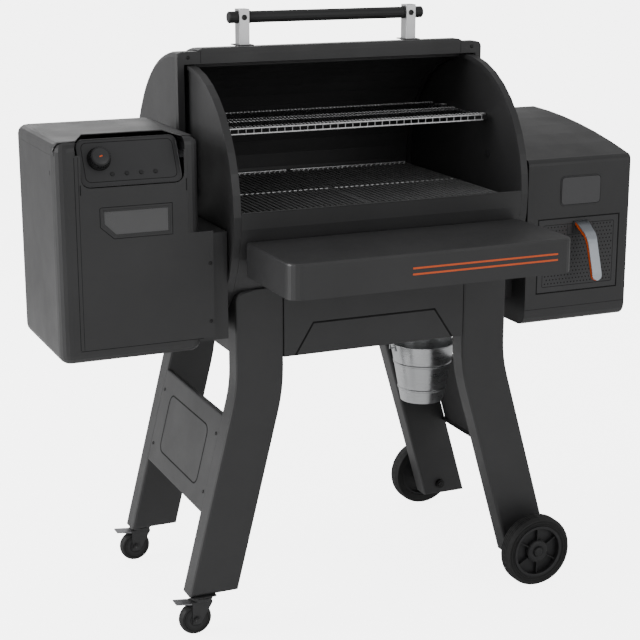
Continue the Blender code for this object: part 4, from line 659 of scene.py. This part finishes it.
def wheel_details():
    """Rim flange, boss ring, tread and sidewall rings, axle cap and nut of each large wheel."""
    rim_outer, rim_inner = 0.0655, 0.0588
    flange = [(rim_inner, -0.001), (rim_inner, 0.0028), (rim_inner + 0.002, 0.0040)]
    flange += [(rim_outer, 0.0036), (rim_outer, -0.001)]
    boss = [(0.0128, -0.001), (0.0128, 0.0018), (0.0145, 0.0030), (0.0240, 0.0026)]
    boss += [(0.0262, 0.0010), (0.0265, -0.001)]
    cap = [(0, 0.0042), (0.006, 0.0040), (0.0105, 0.0028), (0.0126, 0.0), (0.0126, -0.002), (0, -0.002)]
    for name, end in (("front", -1), ("rear", 1)):
        low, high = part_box(f"{name}_wheel_tyre")
        centre = (low + high) / 2
        half, radius = (high.y - low.y) / 2, (high.z - low.z) / 2
        body = f"{name}_wheel"
        way = "+Y" if end > 0 else "-Y"
        hub_low, hub_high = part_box(f"{name}_wheel_hub")
        outer_y = hub_high.y if end > 0 else hub_low.y
        bm = bmesh.new()
        pose = facing(way, Vector((centre.x, outer_y, centre.z)))
        add_lathe(bm, flange, pose, 64)
        piece(f"{name}_wheel_rim_flange", bm, PLASTIC, body)
        bm = bmesh.new()
        add_lathe(bm, boss, pose, 48)
        piece(f"{name}_wheel_boss_ring", bm, PLASTIC, body)
        offsets = (-0.010, -0.0035, 0.0035, 0.010)
        tread = [circle(centre, radius - 0.0006, centre.y + offset, 72) for offset in offsets]
        wires(f"{name}_wheel_tread", tread, 0.0008, SHADOW, body, 2, True)
        face_y = centre.y + (half - 0.0002) * end
        reaches = ((0.0700, 0.0009), (0.0765, 0.0004))
        rings = [circle(centre, reach, face_y - end * sunk, 64) for reach, sunk in reaches]
        wires(f"{name}_wheel_sidewall", rings, 0.0008, RUBBER, body, 2, True)
        axle_low, axle_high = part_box(f"{name}_wheel_axle")
        cap_y = axle_high.y if end > 0 else axle_low.y
        bm = bmesh.new()
        pose = facing(way, Vector((centre.x, cap_y - end * 0.003, centre.z)))
        add_lathe(bm, cap, pose, 32)
        piece(f"{name}_wheel_cap", bm, PLASTIC, "cart")
        inner_y = axle_low.y if end > 0 else axle_high.y
        back = facing("-Y" if end > 0 else "+Y", Vector((centre.x, inner_y, centre.z)))
        nuts(f"{name}_wheel_axle_nut", [back], 0.0080, 0.006, SCREW, "cart")


# ---- Shelf ----
def shelf_details():
    """Two plain orange stripes on the front lip, and the hem round the lower edge."""
    low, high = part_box("front_shelf")
    z = (low.z + high.z) / 2
    stripe = facing("-Y", Vector(((low.x + high.x) / 2, low.y, z)))
    for index, v in enumerate((0.0065, -0.0065)):
        ribbon(f"shelf_stripe_{index + 1}", [(-0.060, v), (0.292, v)], stripe, 0.0040, 0.0004, ORANGE, "shelf")
    corner_r, hem_r = 0.030, 0.0285
    path = [(low.x + 0.0015, high.y - 0.002), (low.x + 0.0015, low.y + 0.032)]
    path += arc(low.x + corner_r, low.y + corner_r, hem_r, 180, 270, 6)
    path += arc(high.x - corner_r, low.y + corner_r, hem_r, 270, 360, 6)
    path += [(high.x - 0.0015, low.y + 0.032), (high.x - 0.0015, high.y - 0.002)]
    wires("shelf_hem", [[(x, y, low.z + 0.0014) for x, y in path]], 0.0015, COAT, "shelf", 3)


# ---- Hopper ----
def hopper_details():
    """Seams, the window's frame, screws and hems of the hopper."""
    face = facing("-Y", at(0, HOPPER_FACE_Y, 0))
    groove = 0.0012
    ribbon("hopper_seam_left", [(-0.7005, 0.7135), (-0.7005, 1.124)], face, groove, 0.0003, SHADOW, "cart")
    ribbon("hopper_seam_bottom", [(-0.7005, 0.7115), (-0.4265, 0.7115)], face, groove, 0.0003, SHADOW, "cart")
    frame_line = [(-0.6495, 0.9785), (-0.6495, 1.0135), (-0.6465, 1.0160), (-0.4915, 1.0160)]
    frame_line += [(-0.4915, 0.9485), (-0.6205, 0.9485), (-0.6495, 0.9745)]
    ribbon("window_frame_line", frame_line, face, 0.0014, 0.0003, SHADOW, "cart", True)
    lip = [(-0.6425, 0.9805), (-0.6425, 1.0090), (-0.4985, 1.0090), (-0.4985, 0.9550), (-0.6165, 0.9550)]
    ribbon("window_lip", lip, face, 0.0040, 0.0009, COAT, "cart", True)
    ribbon("hopper_seam_fold", [(-0.6925, 0.7135), (-0.6925, 1.124)], face, 0.0009, 0.0002, SHADOW, "cart")
    cuts = [[(-0.6890, 1.045), (-0.6890, 1.066)], [(-0.4590, 1.040), (-0.4590, 1.066)]]
    for index, line in enumerate(cuts):
        ribbon(f"panel_side_cut_{index + 1}", line, face, 0.0022, 0.0004, SHADOW, "cart")
    heads = [facing("-Y", at(-0.4085, HOPPER_FACE_Y, z)) for z in (0.877, 0.748)]
    screws("hopper_flange_screws", heads, 0.0042, SCREW, "cart")
    side = facing("-X", at(HOPPER_SIDE_X, 0, 0))
    slot = [(0.234, 1.0855), (0.234, 1.0945)]
    ribbon("hopper_side_slot", slot, side, 0.0024, 0.0004, SHADOW, "cart")
    hem = [(-0.6935, -0.2560, 1.1543), (-0.6555, -0.1665, 1.1548)]
    hem += [(-0.4755, -0.1665, 1.1548), (-0.4630, -0.2560, 1.1543)]
    wires("notch_hem", [[at(*point) for point in hem]], 0.0012, COAT, "hopper_cover", 3)
    left_seam = [(-0.7405, 1.1365), (-0.7365, 1.1465), (-0.7300, 1.1525), (-0.6945, 1.1548)]
    right_seam = [(-0.4625, 1.1548), (-0.4400, 1.1525), (-0.4335, 1.1465)]
    seams = [[at(x, -0.2588, z) for x, z in seam] for seam in (left_seam, right_seam)]
    wires("hopper_lid_seams", seams, 0.0012, SHADOW, "cart", 2)


def panel_pose(x, up, out=0.0):
    """A pose on the sloping control panel, its Z out of the face."""
    lean = math.radians(CONTROL_LEAN)
    foot = at(x, CONTROL_FOOT_Y, CONTROL_FOOT_Z) + Vector((0.0, math.sin(lean), math.cos(lean))) * up
    pose = Matrix.Translation(foot) @ Matrix.Rotation(math.radians(90) - lean, 4, "X")
    return pose @ Matrix.Translation((0, 0, out))


def control_details():
    """The panel's border and rolled edge, the knob's grips, face and mark, and a ring round each button."""
    border = rounded(-0.099, 0.099, 0.0105, 0.0965, 0.0115)
    ribbon("panel_border_line", border, panel_pose(CONTROL_X, 0.0), 0.0013, 0.0003, SHADOW, "cart", True)
    edge = rounded(-0.1085, 0.1085, 0.0015, 0.1035, 0.0148)
    ribbon("panel_edge_roll", edge, panel_pose(CONTROL_X, 0.0), 0.0026, 0.0009, PANEL, "cart", True)
    bm = bmesh.new()
    dial = panel_pose(KNOB_X, KNOB_UP)
    grip = [(-0.0008, -0.0009), (0.0010, -0.0006), (0.0010, 0.0006), (-0.0008, 0.0009)]
    for index in range(KNOB_GRIPS):
        turned = dial @ Matrix.Rotation(2 * math.pi * index / KNOB_GRIPS, 4, "Z")
        add_prism(bm, grip, turned @ Matrix.Translation((0.0219, 0, 0.0038)), 0.0135, 0.0004)
    piece("knob_grips", bm, PLASTIC, "knob")
    bm = bmesh.new()
    add_lathe(bm, [(0, 0.0206), (0.0158, 0.0206), (0.0172, 0.0200), (0.0172, 0.0196), (0, 0.0196)], dial, 40)
    piece("knob_face", bm, PANEL, "knob")
    bm = bmesh.new()
    mark = dial @ Matrix.Rotation(math.radians(20), 4, "Z") @ Matrix.Translation((0, 0, 0.0204))
    add_prism(bm, rounded(-0.0038, 0.0038, -0.0015, 0.0015, 0.0014, 3), mark, 0.0006, 0.0002)
    piece("knob_pointer", bm, ORANGE, "knob")
    bm = bmesh.new()
    add_lathe(bm, [(0.0231, 0.0), (0.0252, 0.0), (0.0252, 0.0006), (0.0231, 0.0006)], dial, 48)
    piece("knob_skirt_ring", bm, SHADOW, "cart")
    for index in range(4):
        pose = panel_pose(BUTTON_FIRST_X + index * BUTTON_PITCH, BUTTON_UP)
        bm = bmesh.new()
        add_lathe(bm, [(0.0043, 0.0), (0.0050, 0.0), (0.0050, 0.0004), (0.0043, 0.0004)], pose, 28)
        piece(f"button_{index + 1}_ring", bm, PLASTIC, "cart")


# ---- Side cupboard ----
def cupboard_details():
    """The door's gap, border and dimples, a seam, and a frame round the blank badge."""
    face = facing("-Y", at(0, CUPBOARD_FACE_Y, 0))
    low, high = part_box("side_box_door")
    left, right = low.x - CX, high.x - CX
    bottom, top = low.z, high.z
    gap = 0.0015
    outline = [(left - gap, bottom - gap), (right + gap, bottom - gap)]
    outline += [(right + gap, top + gap), (left - gap, top + gap)]
    ribbon("door_gap", outline, face, 0.0028, 0.0003, SHADOW, "cart", True)
    inset = 0.0135
    border = rounded(left + inset, right - inset, bottom + inset, top - inset, 0.003, 3)
    ribbon("door_border_line", border, face, 0.0012, 0.0003, SHADOW, "side_door", True)
    mount = [(0.5165, top - inset), (0.5165, 0.8555), (0.5875, 0.8555), (0.5875, top - inset)]
    ribbon("door_handle_line", mount, face, 0.0010, 0.0003, SHADOW, "side_door")
    bm = bmesh.new()
    dimple = [(0, 0.0005), (0.0012, 0.0004), (0.0020, -0.0001), (0, -0.0001)]
    columns = int((right - left - 2 * inset - 0.010) / DOT_PITCH)
    rows = int((top - bottom - 2 * inset - 0.010) / DOT_PITCH)
    for column in range(columns + 1):
        for row in range(rows + 1):
            x = left + inset + 0.0075 + column * DOT_PITCH + (DOT_PITCH / 2 if row % 2 else 0.0)
            z = bottom + inset + 0.0075 + row * DOT_PITCH
            if x > right - inset - 0.005 or (0.514 < x < 0.590 and z > 0.852):
                continue
            add_lathe(bm, dimple, face @ Matrix.Translation((x, z, 0)), 8)
    piece("door_dots", bm, SHADOW, "side_door")
    seam = [(0.4045, 0.678), (0.6875, 0.678)]
    ribbon("cupboard_seam", seam, face, 0.0010, 0.0003, SHADOW, "cart")
    b_low, b_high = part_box("badge_plate")
    rim = 0.0022
    badge = rounded(b_low.x - CX - rim, b_high.x - CX + rim, b_low.z - rim, b_high.z + rim, 0.0100)
    ribbon("badge_frame", badge, face, 0.0030, 0.0012, COAT, "cart", True)


def door_handle():
    """A brushed strap with a rounded foot, an orange liner behind it, and a black bracket."""
    low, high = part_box("door_handle")
    top = high.z
    middle = (low.x + high.x) / 2
    half = (high.x - low.x) / 2
    reach = CY + HANDLE_FACE_Y - low.y
    spine = [(0.0, top - 0.001), (-0.010, top - 0.004), (-0.044, top - 0.0255), (-0.0515, top - 0.035)]
    spine += [(-0.0565, top - 0.047), (-reach - 0.006, top - 0.112), (-reach - 0.010, low.z - 0.003)]
    path = []
    for (y0, z0), (y1, z1) in zip(spine, spine[1:]):
        for step in range(4):
            path.append((y0 + (y1 - y0) * step / 4, z0 + (z1 - z0) * step / 4))
    path.append(spine[-1])
    length, foot = len(path) - 1, path[-1][1]

    def strip(name, shift, thick, width, look):
        bm = bmesh.new()
        rows = []
        for index, (y, z) in enumerate(path):
            after = path[min(index + 1, length)]
            before = path[max(index - 1, 0)]
            along = Vector((0, after[0] - before[0], after[1] - before[1])).normalized()
            normal = Vector((0, -along.z, along.y))
            if normal.y > 0:
                normal = -normal
            above = z - foot
            broad = width * (0.76 + 0.24 * max(0.0, min(1.0, (z - top + 0.045) / 0.040)))
            wide = broad
            if above <= broad:
                wide = math.sqrt(max(broad**2 - (broad - above) ** 2, (broad * 0.12) ** 2))
            base = Vector((middle, CY + HANDLE_FACE_Y + y, z)) + normal * shift
            corners = ((-1, 0), (-1, thick), (1, thick), (1, 0))
            spots = [base + Vector((side * wide, 0, 0)) + normal * depth for side, depth in corners]
            rows.append([bm.verts.new(spot) for spot in spots])
        for first, second in zip(rows, rows[1:]):
            for i in range(4):
                j = (i + 1) % 4
                bm.faces.new((first[i], first[j], second[j], second[i]))
        bm.faces.new(rows[0])
        bm.faces.new(rows[-1][::-1])
        bmesh.ops.recalc_face_normals(bm, faces=bm.faces)
        made = piece(name, bm, look, "side_door", 50.0)
        bevel = made.modifiers.new("edge", "BEVEL")
        bevel.width = 0.0006
        bevel.segments = 2
        bevel.limit_method = "ANGLE"
        return made

    strap = strip("handle_strap", 0.0, 0.0026, half, STRAP)
    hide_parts("door_handle")
    strip("handle_liner", -0.0072, 0.0072, half - 0.0001, ORANGE)
    strip("handle_backing", -0.0115, 0.0050, half - 0.0030, PLASTIC)
    bm = bmesh.new()
    left, right = middle - CX - half - 0.004, middle - CX + half + 0.004
    outline = rounded(left, right, top - 0.030, top + 0.001, 0.003, 3)
    add_prism(bm, outline, facing("-Y", at(0, HANDLE_FACE_Y + 0.0003, 0)), 0.0035, 0.0008)
    piece("handle_bracket", bm, PLASTIC, "side_door")


# ---- Bucket ----
def bucket_details():
    """A smooth spun pail with two pressed beads, a rolled rim and its two ear plates."""
    low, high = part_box("grease_bucket")
    centre = Vector(((low.x + high.x) / 2, (low.y + high.y) / 2, low.z))
    height, wall = high.z - low.z, 0.0012
    top_r, foot_r = 0.0820, 0.0540
    taper = (top_r - foot_r) / height

    def outside(z):
        return foot_r + taper * z

    profile = [(0.0, 0.0032), (foot_r - 0.006, 0.0030), (foot_r - 0.004, 0.0), (foot_r, 0.0)]
    for bead_z in (height * 0.22, height * 0.66):
        profile.append((outside(bead_z - 0.0035), bead_z - 0.0035))
        profile.append((outside(bead_z - 0.0015) + 0.0016, bead_z - 0.0015))
        profile.append((outside(bead_z + 0.0015) + 0.0016, bead_z + 0.0015))
        profile.append((outside(bead_z + 0.0035), bead_z + 0.0035))
    profile += [(top_r - 0.0006, height - 0.003), (top_r - 0.0006, height - 0.001)]
    profile += [(top_r - 0.0006 - wall, height - 0.001), (outside(0.006) - wall, 0.006), (0.0, 0.0046)]
    bm = bmesh.new()
    add_lathe(bm, profile, Matrix.Translation(centre), 96)
    pail = piece("bucket_shell", bm, PAIL, "bucket", 30.0)
    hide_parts("grease_bucket")
    ring = []
    for step in range(72):
        angle = 2 * math.pi * step / 72
        ring.append((centre.x + top_r * math.cos(angle), centre.y + top_r * math.sin(angle), high.z - 0.0002))
    wires("bucket_rim_roll", [ring], 0.0020, PAIL, "bucket", 4, True)
    bm = bmesh.new()
    for side in (-1, 1):
        ear = Vector((centre.x + side * 0.0816, centre.y, high.z - 0.010))
        pose = facing("+X" if side > 0 else "-X", ear)
        add_prism(bm, rounded(-0.009, 0.009, -0.010, 0.007, 0.004, 3), pose, 0.0012, 0.0004)
    piece("bucket_ear_plates", bm, ZINC, "bucket")


# ---- Scene ----
FLOOR_GLOW = 5.0
WORLD_LIGHT = 0.52
LIGHTS_AIM = (0.0, 0.0, 0.75)
# Each light's name, place, width, height and watts.
LIGHTS = (
    ("key", (-4.0, 0.6, 2.2), 2.5, 2.0, 135.0),
    ("front", (1.6, -4.2, 2.0), 2.4, 1.8, 22.0),
    ("back", (0.3, 3.4, 2.3), 3.0, 1.0, 20.0),
)
CAMERA_PLACE = (-1.5047, -3.3186, 1.6298)
CAMERA_AZIMUTH, CAMERA_ELEVATION = -23.65, 14.75
LENS, SENSOR = 89.3, 36.0


def studio():
    """A pale floor that glows to the camera only, a white world and three soft lights."""
    floor_mesh = bpy.data.meshes.new("studio_floor")
    bm = bmesh.new()
    bmesh.ops.create_grid(bm, x_segments=1, y_segments=1, size=30.0)
    bm.to_mesh(floor_mesh)
    bm.free()
    floor = bpy.data.objects.new("studio_floor", floor_mesh)
    floor.location = (0, 0, -0.0005)
    made, tree, shader = start_material("studio_floor_paint", (0.92, 0.92, 0.92), 0.9, specular=0.1)
    tint = shades(tree, noise(tree, 1.5), (0.91, 0.91, 0.91), (0.93, 0.93, 0.93))
    tree.links.new(tint, shader.inputs["Base Color"])
    seen = add(tree, "ShaderNodeLightPath")
    glow = add(tree, "ShaderNodeMath", operation="MULTIPLY")
    glow.inputs[1].default_value = FLOOR_GLOW
    tree.links.new(seen.outputs["Is Camera Ray"], glow.inputs[0])
    shader.inputs["Emission Color"].default_value = (1.0, 1.0, 1.0, 1.0)
    tree.links.new(glow.outputs["Value"], shader.inputs["Emission Strength"])
    floor_mesh.materials.append(made)
    bpy.context.scene.collection.objects.link(floor)
    world = bpy.data.worlds.new("studio_world")
    world.use_nodes = True
    world.node_tree.nodes["Background"].inputs["Color"].default_value = (1.0, 1.0, 1.0, 1.0)
    world.node_tree.nodes["Background"].inputs["Strength"].default_value = WORLD_LIGHT
    bpy.context.scene.world = world
    target = Vector(LIGHTS_AIM)
    for name, where, width, height, power in LIGHTS:
        lamp = bpy.data.lights.new(name, "AREA")
        lamp.shape = "RECTANGLE"
        lamp.size = width
        lamp.size_y = height
        lamp.energy = power
        holder = bpy.data.objects.new(name, lamp)
        holder.location = where
        holder.rotation_euler = (target - Vector(where)).to_track_quat("-Z", "Y").to_euler()
        bpy.context.scene.collection.objects.link(holder)


def camera():
    made = bpy.data.cameras.new("camera")
    made.lens = LENS
    made.sensor_width = SENSOR
    holder = bpy.data.objects.new("camera", made)
    holder.location = CAMERA_PLACE
    azimuth, elevation = math.radians(CAMERA_AZIMUTH), math.radians(CAMERA_ELEVATION)
    back = Vector((
        math.sin(azimuth) * math.cos(elevation),
        -math.cos(azimuth) * math.cos(elevation),
        math.sin(elevation),
    ))
    holder.rotation_euler = (-back).to_track_quat("-Z", "Y").to_euler()
    bpy.context.scene.collection.objects.link(holder)
    bpy.context.scene.camera = holder


camera()
studio()
paint_nodes()
for node_name in NODES:
    if "leg" in node_name or "apron" in node_name or "rail" in node_name:
        soften(node_name, 0.0008)
for node_name in ("left_end_plate", "right_end_plate"):
    soften(node_name, 0.0045, 5, 40.0)
for node_name in ("left_handle_post", "right_handle_post"):
    soften(node_name, 0.0006)
lid_front()
handle_details()
barrel_details()
cooking_wires()
warming_rack()
cart_details()
caster_details()
wheel_details()
shelf_details()
hopper_details()
control_details()
cupboard_details()
door_handle()
bucket_details()
